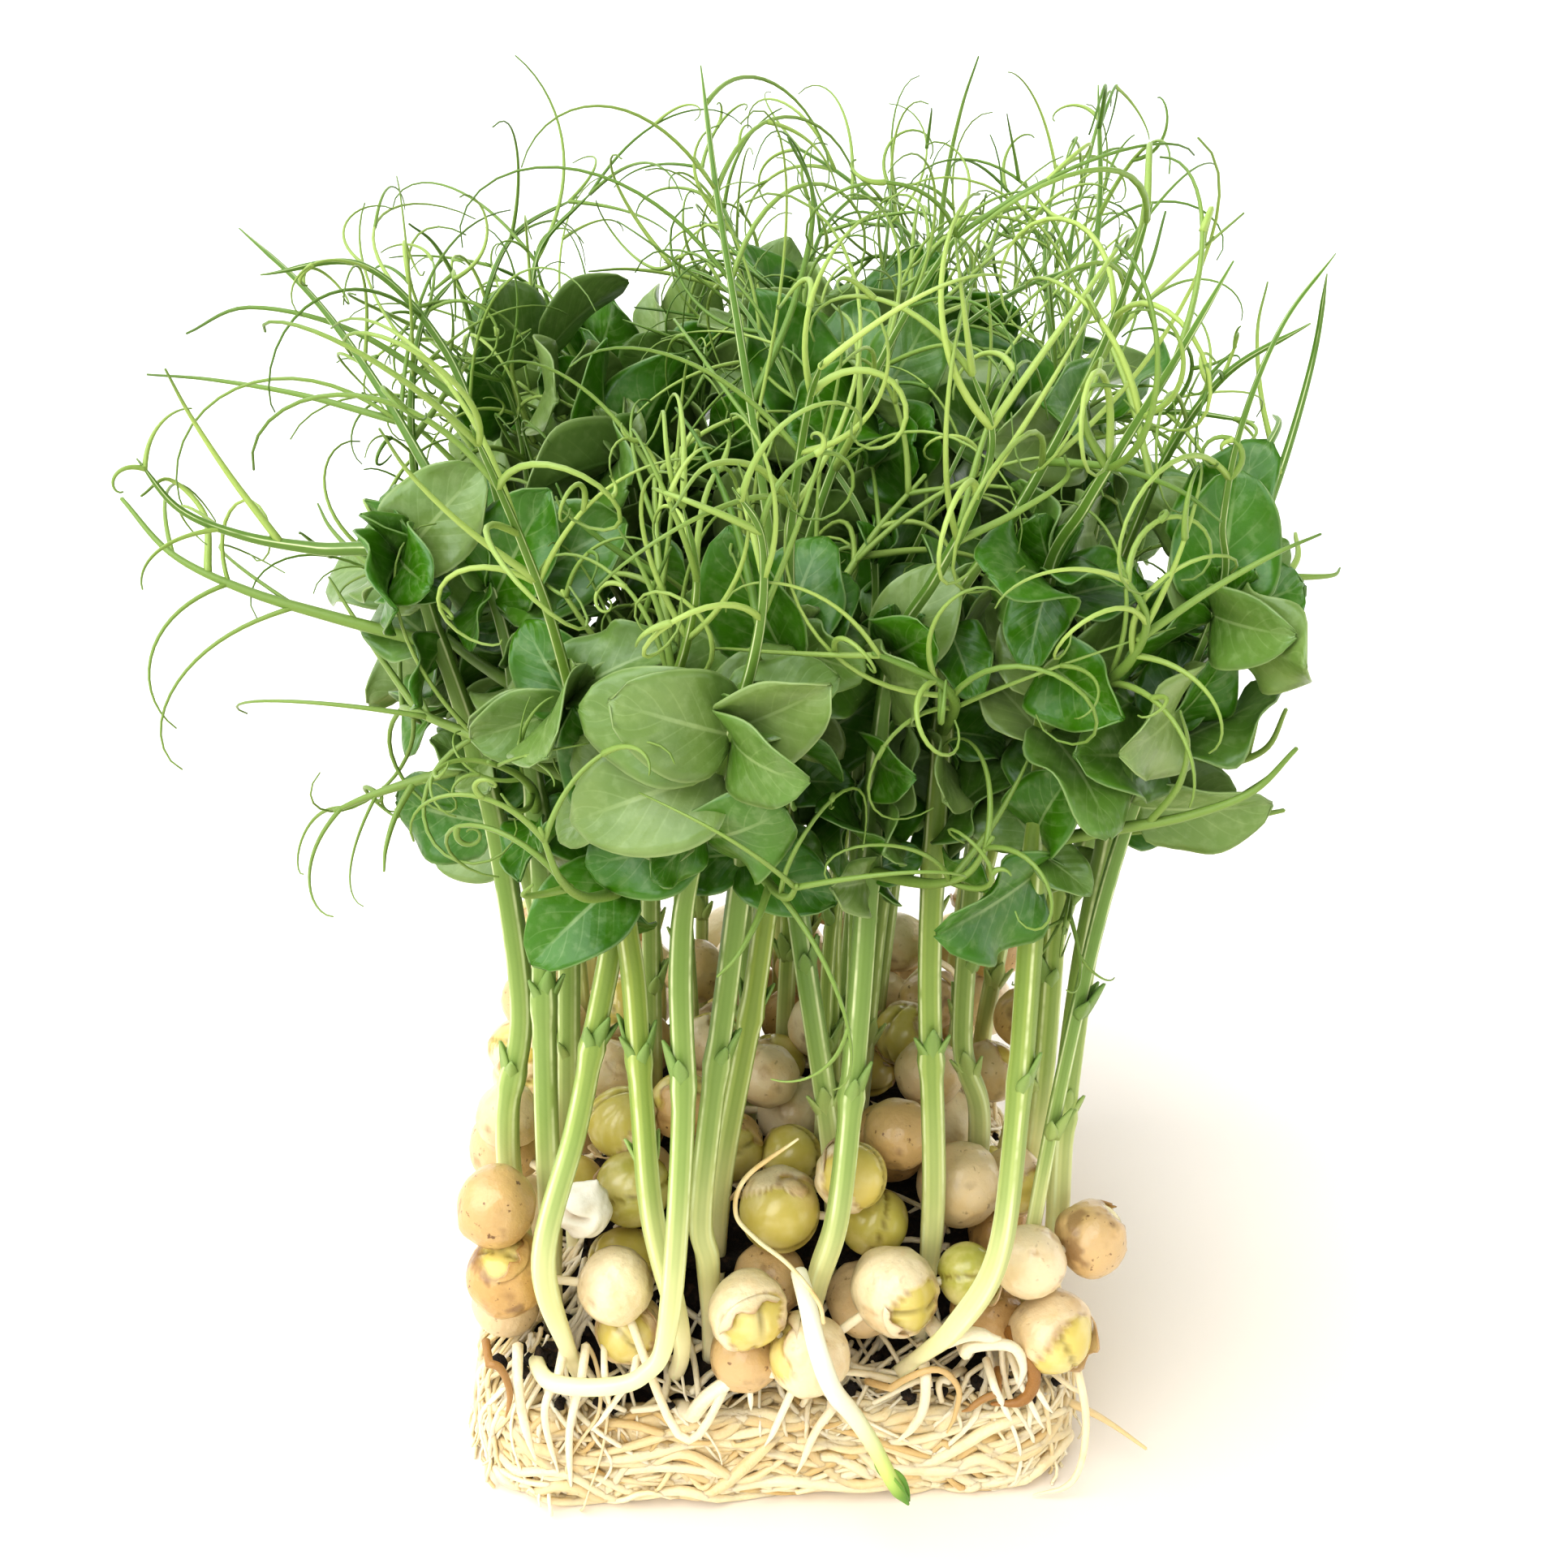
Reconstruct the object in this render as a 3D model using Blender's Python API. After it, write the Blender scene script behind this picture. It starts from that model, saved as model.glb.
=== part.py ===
"""A block of pea shoots, lifted whole out of its growing tray.

A mat of roots, in the shape of the tray, holds a slab of dark growing medium. Swollen peas lie
on it in two layers, and the shoots stand between them: squarish stems with small scale leaves
below, pairs of stipules above, and leaf stalks that end in curling tendrils. Metres, +Z up. The
origin is the middle of the mat's flat underside, and the front of the block faces -Y.
"""

import math

import bmesh
import bpy
import numpy as np

MM = 0.001
SEED = 26
GAP = 0.35 * MM

# The root mat, the medium in it, and the strands over its faces
MAT_WIDTH = 70 * MM
MAT_DEPTH = 76 * MM
MAT_CORNER = 11 * MM
MAT_PROFILE = ((3, 0), (0.9, 2), (0, 5), (0.2, 9), (0.8, 12.5), (4, 12.2), (4, 3))
MEDIUM_PROFILE = ((4.35, 3.35), (4.35, 14), (10, 15.2), (15.5, 23), (25, 24.5))
GROUND_PROFILE = ((-2, -2), (-1.9, 13)) + MEDIUM_PROFILE[1:]
FOOT_DEPTH = 4 * MM
STRANDS = 16
STRAND_RADIUS = 0.75 * MM
LOOSE_ROOT = ((30.5, -32.2, 10), (35.4, -34, 8.8), (39.2, -34, 6.1), (43.1, -36, 4.1))

# The peas, in a lower layer round the edge and an upper layer over all of it
PEA_SMALLEST = 7.4 * MM
PEA_LARGEST = 9.6 * MM
LOWER_LAYER = 21.8 * MM
UPPER_LAYER = 31.5 * MM
UPPER_PEAS = 37
LOWER_PEAS = 18
PEA_ROWS = 6
RADICLE_RADIUS = 1.0 * MM
LONGEST_ROOT = 22 * MM

# The shoots
STEM_FOOT = 1.65 * MM
STEM_MIDDLE = 1.5 * MM
STEM_TIP = 0.95 * MM
SHOOT_HEIGHT = (98 * MM, 118 * MM)
TIP_HEIGHT = (126 * MM, 145 * MM)
RIM_STEMS = 20 * MM
BLADE_THICKNESS = 0.68 * MM
TENDRIL_RADIUS = 0.52 * MM

# The numbers that fill the space map for what isn't a shoot
BLOCK_NUMBER = 200
FIRST_PEA_NUMBER = 210
SMALL_NUMBER = 230

# Front peas, measured off the photograph: x, y, z of the middle and the diameter, in mm
FRONT_PEAS = (
    (-18.7, -35.0, 20.0, 8.6),
    (-6.8, -35.0, 19.4, 8.6),
    (3.6, -39.6, 24.6, 9.4),
    (-31.4, -33.0, 30.3, 8.8),
    (-19.4, -35.6, 30.1, 8.4),
    (-4.6, -37.4, 29.8, 9.1),
    (12.0, -36.4, 29.3, 9.6),
    (19.0, -33.0, 30.0, 7.4),
    (26.3, -34.5, 31.6, 7.8),
    (29.7, -36.0, 22.6, 9.2),
    (33.2, -30.0, 31.7, 8.4),
    (-29.4, -19.0, 37.6, 8.4),
    (-17.7, -24.6, 34.9, 8.6),
    (-0.9, -27.6, 34.1, 9.6),
    (11.6, -27.0, 31.3, 8.6),
    (20.4, -24.0, 34.2, 9.2),
    (27.4, -21.0, 32.3, 8.0),
    (-6.4, -16.4, 34.4, 8.4),
    (13.1, -16.0, 34.5, 9.2),
)

# Front shoots: points along the stem, in mm, then its joints. A joint is its height in mm, the
# way its stalk points in degrees from +X, the length of its blades in mm, the distance to the
# tip of its stalk in mm, and that tip's rise in degrees. A blade of 0 is a scale leaf. The
# stem's first height is replaced by its depth in the medium.
FRONT_SHOOTS = (
    (
        ((-27.6, -21, 0), (-31, -23.4, 31), (-31.5, -24, 45), (-29.5, -24, 59), (-31, -24, 78),
         (-33, -24, 89), (-36, -25, 101), (-39, -26, 110)),
        ((50, 200, 0, 0, 0), (88, 180, 8, 15, -18), (101, 171, 12, 38, 32), (110, 189, 10, 27, 21)),
    ),
    (
        ((-26.6, -25, 0), (-27, -26.4, 40), (-26.9, -27.6, 60), (-26.7, -27, 78), (-28, -26, 92),
         (-31, -25, 107)),
        ((62, -70, 0, 0, 0), (84, -100, 10, 22, 40), (97, 140, 12, 36, 50), (107, 129, 11, 44, 54)),
    ),
    (
        ((-23, -30.3, 0), (-24.9, -36.5, 23), (-27, -38, 36.6), (-23.6, -32.5, 49),
         (-21.6, -32, 60), (-19, -32, 77), (-20.5, -33, 89), (-23, -35, 100)),
        ((59, -60, 0, 0, 0), (75, -75, 8, 18, 30), (89, -170, 10, 32, 55), (100, -110, 12, 34, 62)),
    ),
    (
        ((-27.2, -28.8, 0), (-28.4, -34.4, 19), (-26.6, -39.2, 20.4), (-21, -41.8, 22),
         (-16.4, -42, 23.8), (-13.8, -41.4, 30), (-12.4, -39.3, 55), (-12.8, -38.6, 73), (-12, -40, 84),
         (-8.6, -47, 102)),
        ((60, 200, 0, 0, 0), (90, 100, 9, 32, 60), (102, -92, 14, 32, 48)),
    ),
    (
        ((-13.2, -30.4, 0), (-12.2, -36.9, 24), (-15.4, -36.4, 40), (-16.6, -35.6, 55),
         (-17.4, -35, 69), (-18.4, -36, 80), (-17.6, -38, 92)),
        ((60, 160, 0, 0, 0), (80, -120, 10, 26, 40), (92, -60, 12, 32, 60)),
    ),
    (
        ((-8.6, -29.2, 0), (-9.3, -34.4, 32), (-10.2, -34.4, 41), (-7.6, -33.4, 71),
         (-6.6, -34, 82), (-5.4, -36, 94), (-3.4, -37, 106)),
        ((58, -20, 0, 0, 0), (84, -88, 11, 20, 20), (97, 60, 10, 32, 60), (106, -80, 13, 34, 60)),
    ),
    (
        ((-7.6, -23, 0), (-7.6, -25, 36), (-4.9, -27, 60), (-3.6, -27.4, 74), (-2.4, -28, 88),
         (-3, -28, 102)),
        ((60, 80, 0, 0, 0), (88, -150, 10, 28, 50), (102, 116, 11, 57, 70)),
    ),
    (
        ((2.6, -29.4, 0), (2.9, -34.4, 29), (4.6, -36, 41), (5.7, -33.6, 63), (5.8, -34.6, 91),
         (6.4, -36.6, 105)),
        ((54, -30, 0, 0, 0), (81, -60, 9, 22, 30), (94, 170, 10, 32, 60), (105, -70, 13, 34, 62)),
    ),
    (
        ((16.2, -28.2, 0), (16.2, -29.8, 36), (13.4, -30.3, 68), (12.4, -32, 95), (12, -33, 107)),
        ((56, -90, 0, 0, 0), (80, 20, 9, 26, 40), (95, -84, 11, 30, 50), (107, -40, 12, 40, 68)),
    ),
    (
        ((12.6, -30.4, 0), (14.6, -37.5, 21), (17.4, -41.8, 29.4), (21.4, -40.4, 37.4),
         (22.6, -37.4, 52), (21.6, -38, 80), (20.8, -38, 98), (19.6, -38.6, 113)),
        ((57, -20, 0, 0, 0), (86, -20, 10, 26, 30), (98, -100, 13, 34, 48), (113, -80, 10, 32, 60)),
    ),
    (
        ((28.2, -26.2, 0), (31.8, -25.6, 26), (31.4, -24.8, 44), (31, -27, 70), (33, -28, 93),
         (35.4, -29, 106), (37.4, -29, 113)),
        ((44, -90, 0, 0, 0), (82, -35, 9, 18, 20), (101, 23, 13, 24, 32), (113, 53, 11, 25, 18)),
    ),
    (
        ((28.2, -14, 0), (31.2, -15, 33), (29.5, -18, 70), (28.6, -19, 85), (30.4, -19, 101)),
        ((72, -60, 9, 20, 50), (88, 30, 10, 30, 50), (101, -60, 12, 40, 65)),
    ),
    (
        ((5.8, -23, 0), (5.6, -23, 36), (0.6, -22.4, 67), (-1.6, -22, 82), (-2.6, -21, 99)),
        ((80, 160, 10, 26, 50), (99, -50, 12, 46, 65)),
    ),
    (
        ((24.2, -15.2, 0), (24, -15.4, 37), (21, -15, 49), (21, -14, 78), (23, -13, 98)),
        ((82, -80, 10, 26, 50), (98, 43, 12, 54, 78)),
    ),
    (
        ((-25, -13, 0), (-25.2, -14, 37), (-24.7, -14, 70), (-25.6, -14, 83), (-29, -14, 103)),
        ((84, 130, 10, 30, 40), (103, 172, 12, 47, 51)),
    ),
    (
        ((28.4, -3, 0), (31.6, -6, 35), (33, -8, 60), (36.6, -10, 78), (46, -13, 101)),
        ((82, -60, 9, 22, 30), (101, 52, 11, 38, 64)),
    ),
)

# The middles of the front blades, measured off the photograph, in mm
FRONT_BLADES = (
    (-14.6, -52, 105), (-2.3, -50, 105), (1.3, -36, 109.6), (-4.1, -42, 85.9),
    (12.3, -34, 101.4), (19.5, -46, 101.6), (36.9, -28, 103), (26.2, -36, 83),
    (34.4, -24, 83.9), (-12.8, -44, 75.8), (-16.6, -36, 75.1), (-36.5, -24, 88.9),
    (-38.8, -22, 102), (-31.4, -20, 104.7), (41.8, -20, 114.7), (51.6, -14, 106.2),
    (-10.2, -24, 110.3), (-6.4, -30, 107.1), (-21.8, -34, 97.6), (8.1, -34, 94.3),
    (19.4, -30, 91.7), (-30.6, 0, 111.7),
)

# The sprout that hangs over the front, the dry thread over the peas and the empty seed coat
HANGING_SPROUT = (
    (0.4, -37.8, 33.6), (1.0, -42.4, 33.0), (1.8, -46.2, 30.6), (3.6, -46.6, 25.4),
    (6.1, -45.4, 20.6), (8.5, -46.0, 16.6), (10.4, -48.0, 13.6), (12.3, -49.0, 10.9),
)
DRY_THREAD = (
    (0.1, -33.4, 48.1), (-5.4, -33.6, 43.2), (-6.4, -33.8, 38.6), (-4.4, -36.4, 37.3),
    (-1.1, -40.6, 37.2), (1.6, -45.2, 36.4), (2.2, -46.6, 34.6),
)
EMPTY_COAT = (-22.9, -30.6, 37.0, 6.8)


def unit(vector):
    """The vector at length 1."""
    return vector / np.linalg.norm(vector)


def heading(azimuth, rise):
    """The unit vector that points azimuth degrees round from +X and rise degrees up."""
    turn, lift = math.radians(azimuth), math.radians(rise)
    return np.array(
        (math.cos(turn) * math.cos(lift), math.sin(turn) * math.cos(lift), math.sin(lift))
    )


def across(vector, other):
    """The part of the first vector that is square to the other, at length 1."""
    return unit(vector - other * (vector @ other))


def smooth_curve(points, count):
    """count points on a curve through the given ones. Each span is a cubic whose slope at both
    ends is half the step between the neighbours of that end."""
    points = np.asarray(points, float)
    padded = np.vstack((2 * points[0] - points[1], points, 2 * points[-1] - points[-2]))
    slopes = (padded[2:] - padded[:-2]) / 2
    place = np.linspace(0, len(points) - 1, count)
    span = np.minimum(place.astype(int), len(points) - 2)
    t = (place - span)[:, None]
    a, b = points[span], points[span + 1]
    return (
        (2 * t**3 - 3 * t**2 + 1) * a
        + (t**3 - 2 * t**2 + t) * slopes[span]
        + (3 * t**2 - 2 * t**3) * b
        + (t**3 - t**2) * slopes[span + 1]
    )


def spiral(start, direction, side, length, turn, power, drift):
    """A tendril's middle line. It sets off along direction and turns towards side, by turn
    degrees in all, faster near its tip, and drift carries it out of that plane."""
    s = np.linspace(0, 1, 49)
    angle = math.radians(turn) * s**power
    steps = np.cos(angle)[:, None] * direction + np.sin(angle)[:, None] * side
    run = np.vstack((np.zeros(3), np.cumsum((steps[1:] + steps[:-1]) / 2, axis=0)))
    out = np.cross(direction, side)
    return start + run * length / 48 + (drift * length * s**2)[:, None] * out


def along_line(points, places):
    """The points of a line at these shares of its length, from 0 to 1."""
    steps = np.linalg.norm(np.diff(points, axis=0), axis=1)
    run = np.concatenate(([0], np.cumsum(steps)))
    return np.stack([np.interp(np.asarray(places) * run[-1], run, c) for c in points.T], 1)


def filled_line(points, step=0.45 * MM):
    """Points no further apart than step along a line of straight runs."""
    steps = np.linalg.norm(np.diff(points, axis=0), axis=1)
    return along_line(points, np.linspace(0, 1, max(2, int(steps.sum() / step) + 1)))


def ground(x, y):
    """The height of the mat and the medium, from their profile inwards of the mat's edge."""
    inset = np.minimum(MAT_WIDTH / 2 - np.abs(x), MAT_DEPTH / 2 - np.abs(y))
    insets, heights = np.transpose(GROUND_PROFILE) * MM
    return np.interp(inset, insets, heights)


class Space:
    """Small cubes of the air round the block, each with the number of what fills it. The last
    two layers of cubes count as filled, so that nothing leaves the object's box."""

    LOW = np.array((-70.5, -60, -2)) * MM
    SIZE = np.array((258, 226, 323))
    CELL = 0.5 * MM
    QUANTUM = 0.22 * MM
    BORDER = -1
    JOINT = 4 * MM

    def __init__(self):
        self.owner = np.full(self.SIZE, self.BORDER, np.int16)
        self.owner[2:-2, 2:-2, 2:-2] = 0
        self.balls = {}

    def cells(self, points, reach):
        """The cubes whose middles lie within reach of any of the points, roughly."""
        span = int(reach / self.CELL) + 1
        key = round(reach / self.CELL, 2)
        if key not in self.balls:
            grid = np.mgrid[-span : span + 1, -span : span + 1, -span : span + 1]
            grid = grid.reshape(3, -1).T
            self.balls[key] = grid[np.linalg.norm(grid, axis=1) <= key]
        index = np.round((points - self.LOW) / self.CELL).astype(int)
        index = (index[:, None, :] + self.balls[key]).reshape(-1, 3)
        return tuple(np.clip(index, 0, self.SIZE - 1).T)

    def is_free(self, points, radius, number, root=None):
        """True if nothing but this number's own pieces comes within half a gap of the points,
        and not even those where the points are further from their root than JOINT."""
        reach = radius + GAP / 2 + self.QUANTUM
        found = self.owner[self.cells(points, reach)]
        if np.any((found != 0) & (found != number)):
            return False
        if root is None:
            return True
        far = points[np.linalg.norm(points - root, axis=1) > self.JOINT]
        return not np.any(self.owner[self.cells(far, reach)])

    def take(self, points, radius, number):
        """Fills the cubes round the points that are still free."""
        cells = self.cells(points, radius + GAP / 2 + self.QUANTUM)
        self.owner[cells] = np.where(self.owner[cells] == 0, number, self.owner[cells])

    def take_block(self):
        """Fills the cubes of the mat and the medium that are still free."""
        x, y, z = (low + np.arange(size) * self.CELL for low, size in zip(self.LOW, self.SIZE))
        top = ground(x[:, None], y[None, :]) + GAP
        inside = z[None, None, :] < top[:, :, None]
        self.owner[inside & (self.owner == 0)] = BLOCK_NUMBER


class Blade:
    """A leaf blade: an arched midrib, and two halves that fold up from it and wave."""

    FULL = ((0.13, 0.58), (0.4, 1), (0.74, 1))
    PLAIN = ((0.3, 1), (0.7, 1))

    def __init__(self, stations, base, axis, face, length, fold, curl, wave, phase):
        self.base, self.axis, self.face = base, axis, across(face, axis)
        self.side = np.cross(self.face, self.axis)
        self.length, self.width = length, 0.8 * length
        self.fold, self.curl, self.wave, self.phase = fold, curl, wave, phase
        pairs = [(along, out * side) for along, out in stations for side in (1, -1)]
        self.places = np.array([(0, 0), *pairs, (1, 0)])

    def surface(self, along, out):
        """The point at share along of the midrib's length and out, -1 to 1, across the blade.
        The midrib is an arc that turns by curl. The half width is a sine of the length, widest
        two fifths up, the halves rise by the fold, and the margin waves."""
        turn = self.curl * along
        run = self.length * np.sin(turn) / self.curl
        lift = -self.length * (1 - np.cos(turn)) / self.curl
        half = self.width / 2 * np.sin(math.pi * along**0.75) ** 0.7
        ripple = self.wave * half * np.sin(2 * math.pi * (1.5 * along + self.phase)) * out**2
        rise = lift + np.abs(out) * half * math.sin(self.fold) + ripple
        spread = out * half * math.cos(self.fold)
        return (
            self.base
            + run[:, None] * self.axis
            + spread[:, None] * self.side
            + rise[:, None] * self.face
        )

    def corners(self):
        """The base, the pairs of corners up the sides, then the tip."""
        return self.surface(self.places[:, 0], self.places[:, 1])

    def triangles(self):
        """The triangles of one face: one at each end, and two between each pair of corners."""
        tip = len(self.places) - 1
        found = [(0, 2, 1), (tip - 2, tip - 1, tip)]
        for low in range(1, tip - 2, 2):
            found += [(low, low + 1, low + 3), (low, low + 3, low + 2)]
        return np.array(found)

    def cover(self):
        """Points all over the blade, about half a millimetre apart."""
        steps = 12
        weights = [(i, j, steps - i - j) for i in range(steps + 1) for j in range(steps + 1 - i)]
        return (np.array(weights) / steps @ self.corners()[self.triangles()]).reshape(-1, 3)


class Tube:
    """A piece along a line of straight runs: a stem, stalk, tendril, strand or thread. The ends
    are points, or flat where they aren't pointed."""

    def __init__(self, line, radii, sides=3, pointed=(True, True)):
        self.line, self.sides, self.pointed = line, sides, pointed
        self.radii = np.interp(np.linspace(0, 1, len(line)), np.linspace(0, 1, len(radii)), radii)


class Shoot:
    """One leafy stem and everything that grows on it."""

    def __init__(self, number, stem, joints, rng, measured):
        self.name = f"shoot_{number:02d}"
        self.number, self.stem, self.joints, self.rng = number, stem, joints, rng
        self.measured = measured
        self.leader = None
        self.blades, self.tubes, self.twigs = [], [], []

    def at_height(self, height):
        """The stem's point where it first reaches this height, and its direction there."""
        place = max(1, int(np.argmax(self.stem[:, 2] >= height - 1e-6)))
        low, high = self.stem[place - 1], self.stem[place]
        share = np.clip((height - low[2]) / (high[2] - low[2]), 0, 1)
        return low + (high - low) * share, unit(high - low)

    def trunk(self):
        """The stem's tube, which runs on into the stalk of its top joint."""
        radii = (STEM_FOOT, STEM_FOOT, STEM_MIDDLE, STEM_MIDDLE, STEM_TIP)
        tube = Tube(self.stem, radii, sides=4, pointed=(False, False))
        if self.leader is not None:
            tube.line = np.vstack((self.stem, self.leader[1:]))
            thin = np.linspace(TENDRIL_RADIUS * 1.6, TENDRIL_RADIUS * 1.1, len(self.leader) - 1)
            tube.radii = np.concatenate((tube.radii, thin))
            tube.pointed = (False, True)
        return tube


def front_shoots(space):
    """The shoots that were measured off the photograph."""
    found = []
    for index, (points, joints) in enumerate(FRONT_SHOOTS):
        stem = np.array(points) * MM
        stem[0, 2] = ground(*stem[0, :2]) - FOOT_DEPTH
        rng = np.random.default_rng((SEED, index))
        shoot = Shoot(index + 1, stem, joints, rng, measured=True)
        space.take(filled_line(stem), STEM_FOOT, shoot.number)
        found.append(shoot)
    return found


def grown_stem(x, y, rng):
    """A stem from the medium up, leaning out from the middle of the block as it rises."""
    top = rng.uniform(*SHOOT_HEIGHT)
    foot = ground(x, y) - FOOT_DEPTH
    heights = np.array((foot, 36 * MM, 62 * MM, 86 * MM, top))
    share = (heights - foot) / (top - foot)
    lean = np.array((0.32 * x, 0.26 * y)) + rng.uniform(-6, 6, 2) * MM
    sway = rng.uniform(-1.5, 1.5, (len(heights), 2)) * MM
    sway[:2] = 0
    plan = np.array((x, y)) + share[:, None] ** 2 * lean + sway
    return np.column_stack((plan, heights))


def grown_joints(stem, rng):
    """The joints of a grown stem: two pairs of blades, each on the other side of the stem than
    the one below, and a lower pair without a stalk on a stem near the rim of the block. The rise
    of the top stalk takes its tip to a drawn height."""
    way = rng.uniform(0, 360)
    turns = rng.uniform(150, 210, 2)
    low = (rng.uniform(70, 79), way - turns[0], rng.uniform(10, 12.5), 0, 0)
    middle = (
        rng.uniform(83, 92), way, rng.uniform(11.5, 14), rng.uniform(24, 34), rng.uniform(20, 55)
    )
    top, reach = stem[-1, 2] / MM, rng.uniform(30, 42)
    rise = math.degrees(math.asin(min((rng.uniform(*TIP_HEIGHT) / MM - top) / reach, 0.95)))
    high = (top, way + turns[1], rng.uniform(13, 15.5), reach, rise)
    near_rim = abs(stem[0, 0]) > RIM_STEMS or stem[0, 1] > RIM_STEMS
    return (low, middle, high) if near_rim else (middle, high)


def grown_shoots(space, first):
    """Shoots on a staggered grid behind the measured ones. A stem that would touch another is
    drawn again, and its place is left empty where none fits."""
    found = []
    for row, y in enumerate(np.linspace(-3, 30, 4) * MM):
        for column, x in enumerate(np.linspace(-27, 23, 5) * MM + (row % 2) * 4 * MM):
            number = first + len(found)
            rng = np.random.default_rng((SEED, 100 + row, column))
            for _ in range(40):
                stem = grown_stem(*(np.array((x, y)) + rng.uniform(-1.5, 1.5, 2) * MM), rng)
                if space.is_free(filled_line(stem), STEM_FOOT, number):
                    joints = grown_joints(stem, rng)
                    space.take(filled_line(stem), STEM_FOOT, number)
                    found.append(Shoot(number, stem, joints, rng, measured=False))
                    break
    return found


class Peas:
    """The peas laid so far: their places and sizes, and their rows."""

    def __init__(self, space):
        self.space = space
        self.places = np.zeros((0, 4))
        self.rows = np.zeros(0, int)

    def fits(self, place, row):
        """True if a pea there touches peas of its own row at most, and nothing else."""
        if len(self.rows):
            apart = np.linalg.norm(self.places[:, :3] - place[:3], axis=1)
            sums = (self.places[:, 3] + place[3]) / 2
            if np.any(apart < np.where(self.rows == row, 0.92 * sums, sums + GAP)):
                return False
        return self.space.is_free(place[None, :3], place[3] / 2, FIRST_PEA_NUMBER + row)

    def lay(self, place, row):
        """Adds a pea."""
        self.places = np.vstack((self.places, place))
        self.rows = np.append(self.rows, row)
        self.space.take(place[None, :3], place[3] / 2, FIRST_PEA_NUMBER + row)


def row_of(y):
    """The row, counted from the front, that a pea this far back belongs to."""
    share = (y + MAT_DEPTH / 2 + 2 * MM) / (MAT_DEPTH + 4 * MM)
    return int(np.clip(share * PEA_ROWS, 0, PEA_ROWS - 1))


def lay_measured_peas(peas):
    """The measured peas, each shifted a little further and made smaller until it fits."""
    rng = np.random.default_rng((SEED, 300))
    for entry in FRONT_PEAS:
        wanted = np.array(entry) * MM
        row = row_of(wanted[1])
        for attempt in range(80):
            place = wanted.copy()
            place[:3] += rng.uniform(-1, 1, 3) * min(attempt, 40) * 0.07 * MM
            place[3] *= 1 - 0.002 * attempt
            if peas.fits(place, row):
                peas.lay(place, row)
                break


def lay_layer(peas, rng, count, height, ring):
    """count more peas at this height, within the ring's width of the mat's edge. Each is the
    one of many drawn places that fits and lies nearest to the peas round it."""
    half = np.array((MAT_WIDTH, MAT_DEPTH)) / 2 - 2 * MM
    for _ in range(count):
        best, least = None, math.inf
        for _ in range(150):
            spot = rng.uniform(-half, half)
            size = rng.uniform(PEA_SMALLEST, PEA_LARGEST)
            place = np.array((*spot, height + rng.uniform(-1, 2.5) * MM, size))
            row = row_of(spot[1])
            if np.min(half - np.abs(spot)) > ring or not peas.fits(place, row):
                continue
            own = peas.places[peas.rows == row, :3]
            near = np.linalg.norm(own - place[:3], axis=1).min(initial=1.0)
            if near < least:
                best, least = place, near
        if best is not None:
            peas.lay(best, row_of(best[1]))


def pea_groups(peas, space):
    """Groups of peas of one row, with the roots that hold each group together. Each pea in turn
    is tied by a root to the nearest one of the group, and where no free root can reach one, the
    rest of the row starts a new group."""
    rng = np.random.default_rng((SEED, 400))
    groups = []
    for row in range(PEA_ROWS):
        waiting = list(peas.places[peas.rows == row])
        while waiting:
            held, roots = [waiting.pop(0)], []
            root = held
            while waiting and root is not None:
                pairs = sorted(
                    (np.linalg.norm(one[:3] - other[:3]), i, j)
                    for i, one in enumerate(waiting) for j, other in enumerate(held)
                )
                for _, i, j in pairs:
                    root = free_root(waiting[i], held[j], row, space, rng)
                    if root is not None:
                        held.append(waiting.pop(i))
                        roots.append(root)
                        break
            groups.append((held, roots))
    return groups


def free_root(one, other, row, space, rng):
    """A root's line from inside one pea to inside the other that meets nothing else."""
    apart = np.linalg.norm(other[:3] - one[:3])
    if apart > LONGEST_ROOT:
        return None
    for attempt in range(40):
        middle = (one[:3] + other[:3]) / 2 + rng.normal(size=3) * attempt * 0.008 * apart
        starts = [p[:3] + unit(middle - p[:3]) * p[3] * 0.22 for p in (one, other)]
        line = np.array((starts[0], middle, starts[1]))
        if space.is_free(filled_line(line), RADICLE_RADIUS, FIRST_PEA_NUMBER + row):
            space.take(filled_line(line), RADICLE_RADIUS, FIRST_PEA_NUMBER + row)
            return line
    return None


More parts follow.
